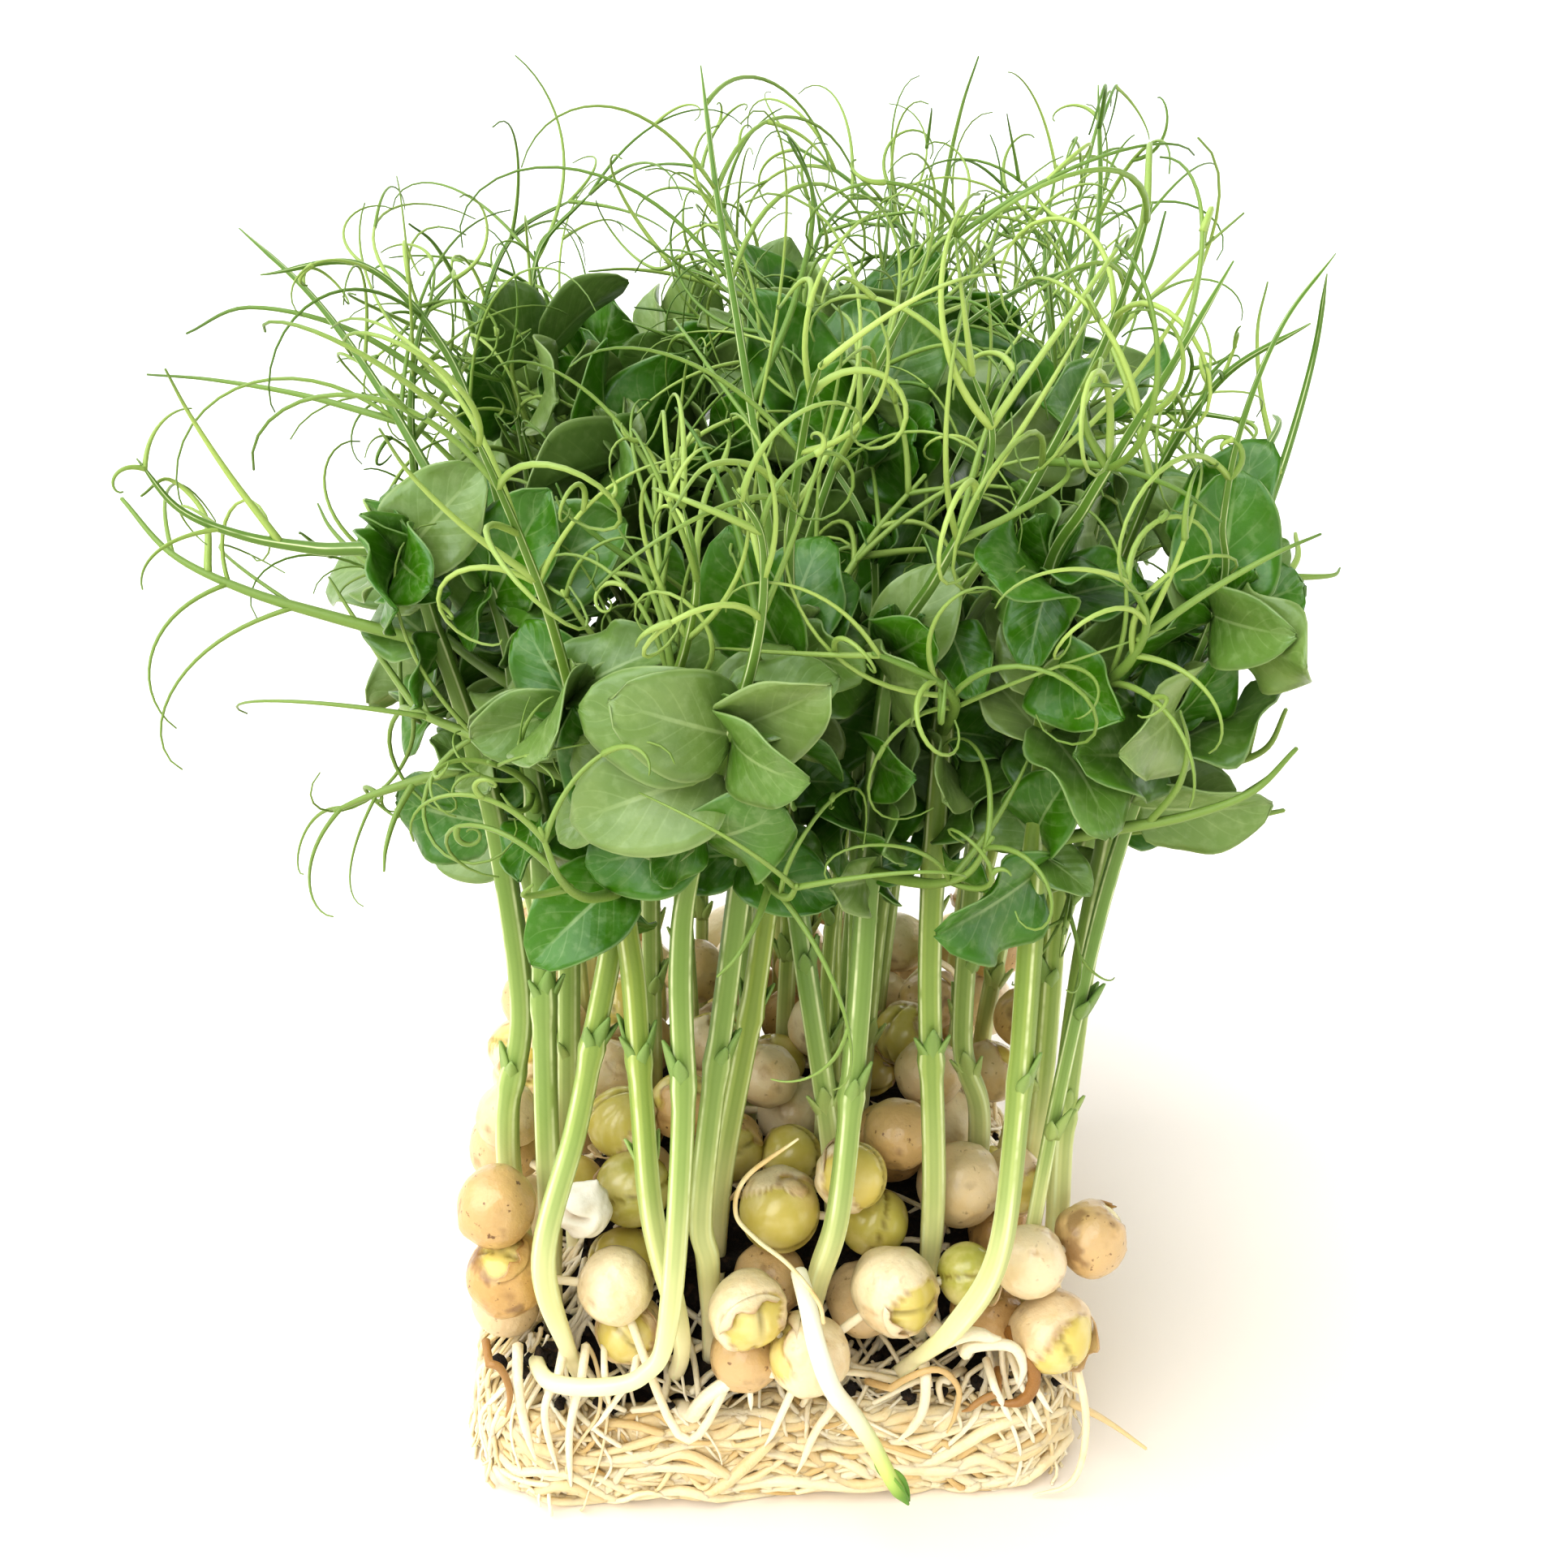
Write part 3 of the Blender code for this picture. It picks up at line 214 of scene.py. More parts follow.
# How each of them looks: the width of the tear in its coat in degrees, the way the tear faces
# (azimuth and rise), how tan the coat is and how green the halves are, from 0 to 1
FRONT_LOOKS = (
    (62, -95, 25, 0.35, 0.1), (0, -90, 0, 0.75, 0.0), (52, 172, 18, 0.1, 0.1),
    (34, -110, 70, 1.0, 0.0), (0, -90, 0, 0.05, 0.0), (56, -75, 0, 0.1, 0.15),
    (44, -62, 8, 0.05, 0.1), (118, -150, 20, 0.0, 0.8), (0, -90, 0, 0.15, 0.0),
    (66, -70, -5, 0.25, 0.0), (30, 20, 40, 0.75, 0.2), (0, -90, 0, 0.35, 0.0),
    (128, -85, 25, 0.3, 0.6), (112, -95, -32, 0.1, 0.15), (150, -90, 10, 0.7, 0.45),
    (0, -90, 0, 0.4, 0.0), (40, -60, 20, 0.4, 0.1), (80, -90, 20, 0.8, 0.3),
    (0, -90, 0, 0.9, 0.0),
)

# Front shoots: points along the stem, in mm, then its joints. A joint is its height in mm, the
# way its stalk points in degrees from +X, the length of its blades in mm, the distance to the
# tip of its stalk in mm, and that tip's rise in degrees. A blade of 0 is a scale leaf. The
# stem's first height is replaced by its depth in the medium.
FRONT_SHOOTS = (
    (((-27.6, -21, 0), (-31, -23.4, 31), (-31.5, -24, 45), (-29.5, -24, 59), (-31, -24, 78),
      (-33, -24, 89), (-36, -25, 101), (-39, -26, 110)),
     ((50, 200, 0, 0, 0), (88, 180, 8, 15, -18), (101, 171, 12, 38, 32), (110, 189, 10, 27, 21))),
    (((-26.6, -25, 0), (-27, -26.4, 40), (-26.9, -27.6, 60), (-26.7, -27, 78), (-28, -26, 92),
      (-31, -25, 107)),
     ((62, -70, 0, 0, 0), (84, -100, 10, 22, 40), (97, 140, 12, 36, 50), (107, 129, 11, 44, 54))),
    (((-23, -30.3, 0), (-24.9, -36.5, 23), (-27, -38, 36.6), (-23.6, -32.5, 49), (-21.6, -32, 60),
      (-19, -32, 77), (-20.5, -33, 89), (-23, -35, 100)),
     ((59, -60, 0, 0, 0), (75, -75, 8, 18, 30), (89, -170, 10, 32, 55), (100, -110, 12, 34, 62))),
    (((-27.2, -28.8, 0), (-28.4, -34.4, 19), (-26.6, -39.2, 20.4), (-21, -41.8, 22),
      (-16.4, -42, 23.8), (-13.8, -41.4, 30), (-12.4, -39.3, 55), (-12.8, -38.6, 73),
      (-12, -40, 84), (-8.6, -47, 102)),
     ((60, 200, 0, 0, 0), (90, 100, 9, 32, 60), (102, -92, 14, 32, 48))),
    (((-13.2, -30.4, 0), (-12.2, -36.9, 24), (-15.4, -36.4, 40), (-16.6, -35.6, 55),
      (-17.4, -35, 69), (-18.4, -36, 80), (-17.6, -38, 92)),
     ((60, 160, 0, 0, 0), (80, -120, 10, 26, 40), (92, -60, 12, 32, 60))),
    (((-8.6, -29.2, 0), (-9.3, -34.4, 32), (-10.2, -34.4, 41), (-7.6, -33.4, 71), (-6.6, -34, 82),
      (-5.4, -36, 94), (-3.4, -37, 106)),
     ((58, -20, 0, 0, 0), (84, -88, 11, 20, 20), (97, 60, 10, 32, 60), (106, -80, 13, 34, 60))),
    (((-7.6, -23, 0), (-7.6, -25, 36), (-4.9, -27, 60), (-3.6, -27.4, 74), (-2.4, -28, 88),
      (-3, -28, 102)),
     ((60, 80, 0, 0, 0), (88, -150, 10, 28, 50), (102, 116, 11, 57, 70))),
    (((2.6, -29.4, 0), (2.9, -34.4, 29), (4.6, -36, 41), (5.7, -33.6, 63), (5.8, -34.6, 91),
      (6.4, -36.6, 105)),
     ((54, -30, 0, 0, 0), (81, -60, 9, 22, 30), (94, 170, 10, 32, 60), (105, -70, 13, 34, 62))),
    (((16.2, -28.2, 0), (16.2, -29.8, 36), (13.4, -30.3, 68), (12.4, -32, 95), (12, -33, 107)),
     ((56, -90, 0, 0, 0), (80, 20, 9, 26, 40), (95, -84, 11, 30, 50), (107, -40, 12, 40, 68))),
    (((12.6, -30.4, 0), (14.6, -37.5, 21), (17.4, -41.8, 29.4), (21.4, -40.4, 37.4),
      (22.6, -37.4, 52), (21.6, -38, 80), (20.8, -38, 98), (19.6, -38.6, 113)),
     ((57, -20, 0, 0, 0), (86, -20, 10, 26, 30), (98, -100, 13, 34, 48), (113, -80, 10, 32, 60))),
    (((28.2, -26.2, 0), (31.8, -25.6, 26), (31.4, -24.8, 44), (31, -27, 70), (33, -28, 93),
      (35.4, -29, 106), (37.4, -29, 113)),
     ((44, -90, 0, 0, 0), (82, -35, 9, 18, 20), (101, 23, 13, 24, 32), (113, 53, 11, 25, 18))),
    (((28.2, -14, 0), (31.2, -15, 33), (29.5, -18, 70), (28.6, -19, 85), (30.4, -19, 101)),
     ((72, -60, 9, 20, 50), (88, 30, 10, 30, 50), (101, -60, 12, 40, 65))),
    (((5.8, -23, 0), (5.6, -23, 36), (0.6, -22.4, 67), (-1.6, -22, 82), (-2.6, -21, 99)),
     ((80, 160, 10, 26, 50), (99, -50, 12, 46, 65))),
    (((24.2, -15.2, 0), (24, -15.4, 37), (21, -15, 49), (21, -14, 78), (23, -13, 98)),
     ((82, -80, 10, 26, 50), (98, 43, 12, 54, 78))),
    (((-25, -13, 0), (-25.2, -14, 37), (-24.7, -14, 70), (-25.6, -14, 83), (-29, -14, 103)),
     ((84, 130, 10, 30, 40), (103, 172, 12, 47, 51))),
    (((28.4, -3, 0), (31.6, -6, 35), (33, -8, 60), (36.6, -10, 78), (46, -13, 101)),
     ((82, -60, 9, 22, 30), (101, 52, 11, 38, 64))),
)

# The middles of the front blades, measured off the photograph, in mm
FRONT_BLADES = (
    (-14.6, -52, 105), (-2.3, -50, 105), (1.3, -36, 109.6), (-4.1, -42, 85.9),
    (12.3, -34, 101.4), (19.5, -46, 101.6), (36.9, -28, 103), (26.2, -36, 83),
    (34.4, -24, 83.9), (-12.8, -44, 75.8), (-16.6, -36, 75.1), (-36.5, -24, 88.9),
    (-38.8, -22, 102), (-31.4, -20, 104.7), (41.8, -20, 114.7), (51.6, -14, 106.2),
    (-10.2, -24, 110.3), (-6.4, -30, 107.1), (-21.8, -34, 97.6), (8.1, -34, 94.3),
    (19.4, -30, 91.7), (-30.6, 0, 111.7),
)

# The sprout that hangs over the front, the dry thread over the peas and the empty seed coat, in
# mm. The coat has its middle and its diameter.
SPROUT_RADIUS = 1.2 * MM
THREAD_RADIUS = 0.5 * MM
HANGING_SPROUT = (
    (0.4, -37.8, 33.6), (1.0, -42.4, 33.0), (1.8, -46.2, 30.6), (3.6, -46.6, 25.4),
    (6.1, -45.4, 20.6), (8.5, -46.0, 16.6), (10.4, -48.0, 13.6), (12.3, -49.0, 10.9),
)
DRY_THREAD = (
    (0.1, -33.4, 48.1), (-5.4, -33.6, 43.2), (-6.4, -33.8, 38.6), (-4.4, -36.4, 37.3),
    (-1.1, -40.6, 37.2), (1.6, -45.2, 36.4), (2.2, -46.6, 34.6),
)
EMPTY_COAT = (-22.9, -30.6, 37.0, 6.8)

# Roots at the front, measured off the photograph: the thickness in mm, how tan they are, and
# points along them by their x and height, in mm, just before the mat's front face
FRONT_ROOTS = (
    (2.0, 0.1, (-12.1, 12.3), (-9.4, 17.3), (-5.5, 20.6), (-0.5, 21.1), (2.9, 18.4)),
    (1.2, 0.3, (5.3, 15.7), (2.9, 11.7), (1.1, 5.5)),
    (2.0, 0.0, (15.8, 24.0), (19.8, 25.8), (23.1, 24.9)),
    (1.6, 0.1, (19.4, 21.5), (19.9, 23.7), (24.2, 23.9), (25.9, 21.2), (25.8, 17.5)),
    (0.9, 1.2, (9.1, 15.5), (12.7, 19.1), (16.4, 20.6), (18.9, 17.8), (18.7, 13.8), (18.1, 11.0)),
    (1.9, 1.6, (25.2, 22.6), (27.0, 20.8), (27.4, 18.2), (26.2, 15.9), (22.9, 15.2)),
    (1.0, 1.5, (24.2, 16.8), (21.6, 15.9), (19.6, 14.2)),
    (1.0, 1.5, (-33.8, 23.0), (-32.0, 22.6), (-31.0, 19.2), (-31.6, 15.4)),
    (1.0, 0.0, (22.7, 18.3), (25.5, 12.5)),
    (0.9, 0.0, (25.4, 19.2), (29.3, 11.3)),
    (0.9, 0.0, (26.4, 19.5), (30.1, 13.6)),
    (0.9, 0.0, (-16.9, 21.8), (-22.2, 13.1)),
    (0.8, 0.0, (-20.8, 22.0), (-20.1, 16.7)),
    (1.1, 0.1, (0.6, 19.2), (-2.7, 9.9)),
    (0.9, 0.0, (-4.8, 21.4), (-4.4, 15.4)),
    (1.0, 0.4, (32.5, 20.0), (34.3, 11.0), (33.6, 3.3), (29.1, 0.7)),
    (1.3, 0.2, (-30.3, 22.3), (-29.8, 16.4), (-28.5, 8.9)),
    (1.1, 0.2, (-25.2, 22.1), (-27.3, 16.3), (-26.0, 6.8)),
    (1.1, 0.1, (-22.8, 22.0), (-24.6, 13.5), (-24.6, 3.9)),
    (1.4, 0.2, (15.1, 20.6), (15.0, 14.6), (12.5, 9.9)),
)


# Growth: the part's own rule, which gives every piece its place


def draws(*stream):
    """Random draws from a stream of their own, the same in every run."""
    return np.random.default_rng((SEED, *stream))


def unit(vector):
    """The vector at length 1."""
    return vector / np.linalg.norm(vector)


def heading(azimuth, rise):
    """The unit vector that points azimuth degrees round from +X and rise degrees up."""
    turn, lift = math.radians(azimuth), math.radians(rise)
    return np.array(
        (math.cos(turn) * math.cos(lift), math.sin(turn) * math.cos(lift), math.sin(lift))
    )


def across(vector, other):
    """The part of the first vector that is square to the other, at length 1."""
    return unit(vector - other * (vector @ other))


def smooth_curve(points, count):
    """count points on a curve through the given ones. Each span is a cubic whose slope at both
    ends is half the step between the neighbours of that end."""
    points = np.asarray(points, float)
    padded = np.vstack((2 * points[0] - points[1], points, 2 * points[-1] - points[-2]))
    slopes = (padded[2:] - padded[:-2]) / 2
    place = np.linspace(0, len(points) - 1, count)
    span = np.minimum(place.astype(int), len(points) - 2)
    t = (place - span)[:, None]
    a, b = points[span], points[span + 1]
    return (
        (2 * t**3 - 3 * t**2 + 1) * a
        + (t**3 - 2 * t**2 + t) * slopes[span]
        + (3 * t**2 - 2 * t**3) * b
        + (t**3 - t**2) * slopes[span + 1]
    )


def curled_line(start, way, bend, length, angle, drift):
    """A tendril's middle line. It sets off along way and turns towards bend by the angle given
    for each of its points, and drift carries it out of that plane."""
    s = np.linspace(0, 1, len(angle))
    steps = np.cos(angle)[:, None] * way + np.sin(angle)[:, None] * bend
    run = np.vstack((np.zeros(3), np.cumsum((steps[1:] + steps[:-1]) / 2, axis=0)))
    aside = (drift * length * s**2)[:, None] * np.cross(way, bend)
    return start + run * length / (len(s) - 1) + aside


def spiral(start, direction, side, length, turn, power, drift):
    """A tendril's middle line that turns towards side by turn degrees in all, faster near its
    tip."""
    s = np.linspace(0, 1, 49)
    return curled_line(start, direction, side, length, math.radians(turn) * s**power, drift)


def along_line(points, places):
    """The points of a line at these shares of its length, from 0 to 1."""
    steps = np.linalg.norm(np.diff(points, axis=0), axis=1)
    run = np.concatenate(([0], np.cumsum(steps)))
    return np.stack([np.interp(np.asarray(places) * run[-1], run, c) for c in points.T], 1)


def filled_line(points, step=0.45 * MM):
    """Points no further apart than step along a line of straight runs."""
    steps = np.linalg.norm(np.diff(points, axis=0), axis=1)
    return along_line(points, np.linspace(0, 1, max(2, int(steps.sum() / step) + 1)))


def ground(x, y):
    """The height of the mat and the medium, from their profile inwards of the mat's edge."""
    inset = np.minimum(MAT_WIDTH / 2 - np.abs(x), MAT_DEPTH / 2 - np.abs(y))
    insets, heights = np.transpose(GROUND_PROFILE) * MM
    return np.interp(inset, insets, heights)


class Space:
    """Small cubes of the air round the block, each with the number of what fills it. The outer
    two layers of cubes count as filled, so that nothing leaves the object's box. CELL is the
    side of a cube and QUANTUM the error that rounding to cubes may make. Within JOINT of its
    root, a piece may touch its own shoot."""

    LOW = np.array((-70.5, -60, -2)) * MM
    SIZE = np.array((258, 226, 323))
    CELL = 0.5 * MM
    QUANTUM = 0.22 * MM
    BORDER = -1
    JOINT = 4 * MM

    def __init__(self):
        self.owner = np.full(self.SIZE, self.BORDER, np.int16)
        self.owner[2:-2, 2:-2, 2:-2] = 0
        self.balls = {}

    def cells(self, points, reach):
        """The cubes whose middles lie within reach of any of the points, roughly."""
        span = int(reach / self.CELL) + 1
        key = round(reach / self.CELL, 2)
        if key not in self.balls:
            grid = np.mgrid[-span : span + 1, -span : span + 1, -span : span + 1]
            grid = grid.reshape(3, -1).T
            self.balls[key] = grid[np.linalg.norm(grid, axis=1) <= key]
        index = np.round((points - self.LOW) / self.CELL).astype(int)
        index = (index[:, None, :] + self.balls[key]).reshape(-1, 3)
        return tuple(np.clip(index, 0, self.SIZE - 1).T)

    def is_free(self, points, radius, number, root=None):
        """True if nothing but this number's own pieces comes within half a gap of the points,
        and not even those where the points are further from their root than JOINT."""
        reach = radius + GAP / 2 + self.QUANTUM
        found = self.owner[self.cells(points, reach)]
        if np.any((found != 0) & (found != number)):
            return False
        if root is None:
            return True
        far = points[np.linalg.norm(points - root, axis=1) > self.JOINT]
        return not np.any(self.owner[self.cells(far, reach)])

    def take(self, points, radius, number):
        """Fills the cubes round the points that are still free."""
        cells = self.cells(points, radius + GAP / 2 + self.QUANTUM)
        self.owner[cells] = np.where(self.owner[cells] == 0, number, self.owner[cells])

    def claim(self, line, radius, number, root=None):
        """Takes the room of a tube along a line if all of it is free, and says if it was."""
        points = filled_line(line)
        free = self.is_free(points, radius, number, root)
        if free:
            self.take(points, radius, number)
        return free

    def take_block(self):
        """Fills the cubes of the mat and the medium that are still free."""
        x, y, z = (low + np.arange(size) * self.CELL for low, size in zip(self.LOW, self.SIZE))
        top = ground(x[:, None], y[None, :]) + GAP
        inside = z[None, None, :] < top[:, :, None]
        self.owner[inside & (self.owner == 0)] = BLOCK_NUMBER


class Blade:
    """A leaf blade: an arched midrib, and two halves that fold up from it and wave."""

    FULL = ((0.13, 0.58), (0.4, 1), (0.74, 1))
    PLAIN = ((0.3, 1), (0.7, 1))

    def __init__(self, stations, base, axis, face, length, fold, curl, wave, phase):
        self.base, self.axis, self.face = base, axis, across(face, axis)
        self.side = np.cross(self.face, self.axis)
        self.length, self.width = length, 0.8 * length
        self.fold, self.curl, self.wave, self.phase = fold, curl, wave, phase
        pairs = [(along, out * side) for along, out in stations for side in (1, -1)]
        self.places = np.array([(0, 0), *pairs, (1, 0)])

    def surface(self, along, out):
        """The point at share along of the midrib's length and out, -1 to 1, across the blade.
        The midrib is an arc that turns by curl. The half width is a sine of the length, widest
        two fifths up, the halves rise by the fold, and the margin waves."""
        turn = self.curl * along
        run = self.length * np.sin(turn) / self.curl
        lift = -self.length * (1 - np.cos(turn)) / self.curl
        half = self.width / 2 * np.sin(math.pi * along**0.75) ** 0.7
        ripple = self.wave * half * np.sin(2 * math.pi * (1.5 * along + self.phase)) * out**2
        rise = lift + np.abs(out) * half * math.sin(self.fold) + ripple
        spread = out * half * math.cos(self.fold)
        return (
            self.base
            + run[..., None] * self.axis
            + spread[..., None] * self.side
            + rise[..., None] * self.face
        )

    def corners(self):
        """The base, the pairs of corners up the sides, then the tip."""
        return self.surface(self.places[:, 0], self.places[:, 1])

    def triangles(self):
        """The triangles of one face: one at each end, and two between each pair of corners."""
        tip = len(self.places) - 1
        found = [(0, 2, 1), (tip - 2, tip - 1, tip)]
        for low in range(1, tip - 2, 2):
            found += [(low, low + 1, low + 3), (low, low + 3, low + 2)]
        return np.array(found)

    def cover(self):
        """Points all over the blade, about half a millimetre apart."""
        steps = 12
        weights = [(i, j, steps - i - j) for i in range(steps + 1) for j in range(steps + 1 - i)]
        return (np.array(weights) / steps @ self.corners()[self.triangles()]).reshape(-1, 3)


class Shoot:
    """One leafy stem and everything that grows on it."""

    def __init__(self, number, stem, joints, rng, measured):
        self.name = f"shoot_{number:02d}"
        self.number, self.stem, self.joints, self.rng = number, stem, joints, rng
        self.measured = measured
        self.slim = MEASURED_SLIM if measured else GROWN_SLIM
        self.leader = None
        self.blades, self.stalks, self.tendrils, self.scales, self.twigs = [], [], [], [], []

    def at_height(self, height):
        """The stem's point where it first reaches this height, and its direction there."""
        place = max(1, int(np.argmax(self.stem[:, 2] >= height - 1e-6)))
        low, high = self.stem[place - 1], self.stem[place]
        share = np.clip((height - low[2]) / (high[2] - low[2]), 0, 1)
        return low + (high - low) * share, unit(high - low)

    def trunk(self):
        """The corners of the stem's line, which runs on into the stalk of its top joint, and the
        stem's radius at each."""
        radii = (STEM_FOOT, STEM_FOOT, STEM_MIDDLE, STEM_MIDDLE, STEM_TIP)
        shares = np.linspace(0, 1, len(self.stem))
        thick = np.interp(shares, np.linspace(0, 1, len(radii)), radii)
        if self.leader is None:
            return self.stem, thick
        thin = np.linspace(TENDRIL_RADIUS * 1.6, TENDRIL_RADIUS * 0.7, len(self.leader) - 1)
        return np.vstack((self.stem, self.leader[1:])), np.concatenate((thick, thin))


def front_shoots(space):
    """The shoots that were measured off the photograph."""
    found = []
    for index, (points, joints) in enumerate(FRONT_SHOOTS):
        stem = np.array(points) * MM
        stem[0, 2] = ground(*stem[0, :2]) - FOOT_DEPTH
        shoot = Shoot(index + 1, stem, joints, draws(index), measured=True)
        space.take(filled_line(stem), STEM_FOOT, shoot.number)
        found.append(shoot)
    return found


def grown_stem(x, y, rng):
    """A stem from the medium up, leaning out from the middle of the block as it rises."""
    top = rng.uniform(*SHOOT_HEIGHT)
    foot = ground(x, y) - FOOT_DEPTH
    heights = np.array((foot, *STEM_HEIGHTS, top))
    share = (heights - foot) / (top - foot)
    lean = STEM_LEAN * np.array((x, y)) + rng.uniform(-6, 6, 2) * MM
    sway = rng.uniform(-1.5, 1.5, (len(heights), 2)) * MM
    sway[:2] = 0
    plan = np.array((x, y)) + share[:, None] ** 2 * lean + sway
    return np.column_stack((plan, heights))


def grown_joints(stem, rng):
    """The joints of a grown stem: two pairs of blades, each on the other side of the stem than
    the one below, and a lower pair without a stalk on a stem near the rim of the block. The rise
    of the top stalk takes its tip to a drawn height."""
    way = rng.uniform(0, 360)
    turns = rng.uniform(150, 210, 2)
    low = (rng.uniform(70, 79), way - turns[0], rng.uniform(10, 12.5), 0, 0)
    middle = (
        rng.uniform(83, 92), way, rng.uniform(11.5, 14), rng.uniform(24, 34), rng.uniform(20, 55)
    )
    top, reach = stem[-1, 2] / MM, rng.uniform(30, 42)
    rise = math.degrees(math.asin(min((rng.uniform(*TIP_HEIGHT) / MM - top) / reach, 0.95)))
    high = (top, way + turns[1], rng.uniform(13, 15.5), reach, rise)
    near_rim = abs(stem[0, 0]) > RIM_STEMS or stem[0, 1] > RIM_STEMS
    return (low, middle, high) if near_rim else (middle, high)


def grown_shoots(space, first):
    """Shoots on a staggered grid behind the measured ones. A stem that would touch another is
    drawn again, and its place is left empty where none fits."""
    found = []
    for row, y in enumerate(np.linspace(-3, 30, 4) * MM):
        for column, x in enumerate(np.linspace(-27, 23, 5) * MM + (row % 2) * 4 * MM):
            number = first + len(found)
            rng = draws(GROWN_STREAM + row, column)
            for _ in range(TRIES):
                stem = grown_stem(*(np.array((x, y)) + rng.uniform(-1.5, 1.5, 2) * MM), rng)
                if space.claim(stem, STEM_FOOT, number):
                    joints = grown_joints(stem, rng)
                    found.append(Shoot(number, stem, joints, rng, measured=False))
                    break
    return found


class Peas:
    """The peas laid so far: their places and sizes, and their rows."""

    def __init__(self, space):
        self.space = space
        self.places = np.zeros((0, 4))
        self.rows = np.zeros(0, int)

    def fits(self, place, row):
        """True if a pea there touches peas of its own row at most, and nothing else."""
        if len(self.rows):
            apart = np.linalg.norm(self.places[:, :3] - place[:3], axis=1)
            sums = (self.places[:, 3] + place[3]) / 2
            if np.any(apart < np.where(self.rows == row, 0.92 * sums, sums + GAP)):
                return False
        return self.space.is_free(place[None, :3], place[3] / 2, FIRST_PEA_NUMBER + row)

    def lay(self, place, row):
        """Adds a pea."""
        self.places = np.vstack((self.places, place))
        self.rows = np.append(self.rows, row)
        self.space.take(place[None, :3], place[3] / 2, FIRST_PEA_NUMBER + row)


def row_of(y):
    """The row, counted from the front, that a pea this far back belongs to."""
    share = (y + MAT_DEPTH / 2 + 2 * MM) / (MAT_DEPTH + 4 * MM)
    return int(np.clip(share * PEA_ROWS, 0, PEA_ROWS - 1))


def lay_measured_peas(peas):
    """The measured peas, each shifted a little further and made smaller until it fits."""
    rng = draws(MEASURED_PEA_STREAM)
    for entry in FRONT_PEAS:
        wanted = np.array(entry) * MM
        row = row_of(wanted[1])
        for attempt in range(80):
            place = wanted.copy()
            place[:3] += rng.uniform(-1, 1, 3) * min(attempt, 40) * 0.07 * MM
            place[3] *= 1 - 0.002 * attempt
            if peas.fits(place, row):
                peas.lay(place, row)
                break


def lay_layer(peas, rng, count, height, ring):
    """count more peas at this height, within the ring's width of the mat's edge. Each is the
    one of many drawn places that fits and lies nearest to the peas round it."""
    half = np.array((MAT_WIDTH, MAT_DEPTH)) / 2 - 2 * MM
    for _ in range(count):
        best, least = None, math.inf
        for _ in range(PEA_TRIES):
            spot = rng.uniform(-half, half)
            size = rng.uniform(PEA_SMALLEST, PEA_LARGEST)
            place = np.array((*spot, height + rng.uniform(-1, 2.5) * MM, size))
            row = row_of(spot[1])
            if np.min(half - np.abs(spot)) > ring or not peas.fits(place, row):
                continue
            own = peas.places[peas.rows == row, :3]
            near = np.linalg.norm(own - place[:3], axis=1).min(initial=1.0)
            if near < least:
                best, least = place, near
        if best is not None:
            peas.lay(best, row_of(best[1]))


def pea_groups(peas, space):
    """Groups of peas of one row, with the roots that hold each group together. Each pea in turn
    is tied by a root to the nearest one of the group, and where no free root can reach one, the
    rest of the row starts a new group."""
    rng = draws(PEA_ROOT_STREAM)
    groups = []
    for row in range(PEA_ROWS):
        waiting = list(peas.places[peas.rows == row])
        while waiting:
            held, roots = [waiting.pop(0)], []
            root = held
            while waiting and root is not None:
                pairs = sorted(
                    (np.linalg.norm(one[:3] - other[:3]), i, j)
                    for i, one in enumerate(waiting) for j, other in enumerate(held)
                )
                for _, i, j in pairs:
                    root = free_root(waiting[i], held[j], row, space, rng)
                    if root is not None:
                        held.append(waiting.pop(i))
                        roots.append(root)
                        break
            groups.append((held, roots))
    return groups


def free_root(one, other, row, space, rng):
    """A root's line from inside one pea to inside the other that meets nothing else."""
    apart = np.linalg.norm(other[:3] - one[:3])
    if apart > LONGEST_ROOT:
        return None
    for attempt in range(TRIES):
        middle = (one[:3] + other[:3]) / 2 + rng.normal(size=3) * attempt * 0.008 * apart
        starts = [p[:3] + unit(middle - p[:3]) * p[3] * 0.22 for p in (one, other)]
        line = np.array((starts[0], middle, starts[1]))
        if space.claim(line, RADICLE_RADIUS, FIRST_PEA_NUMBER + row):
            return line
    return None


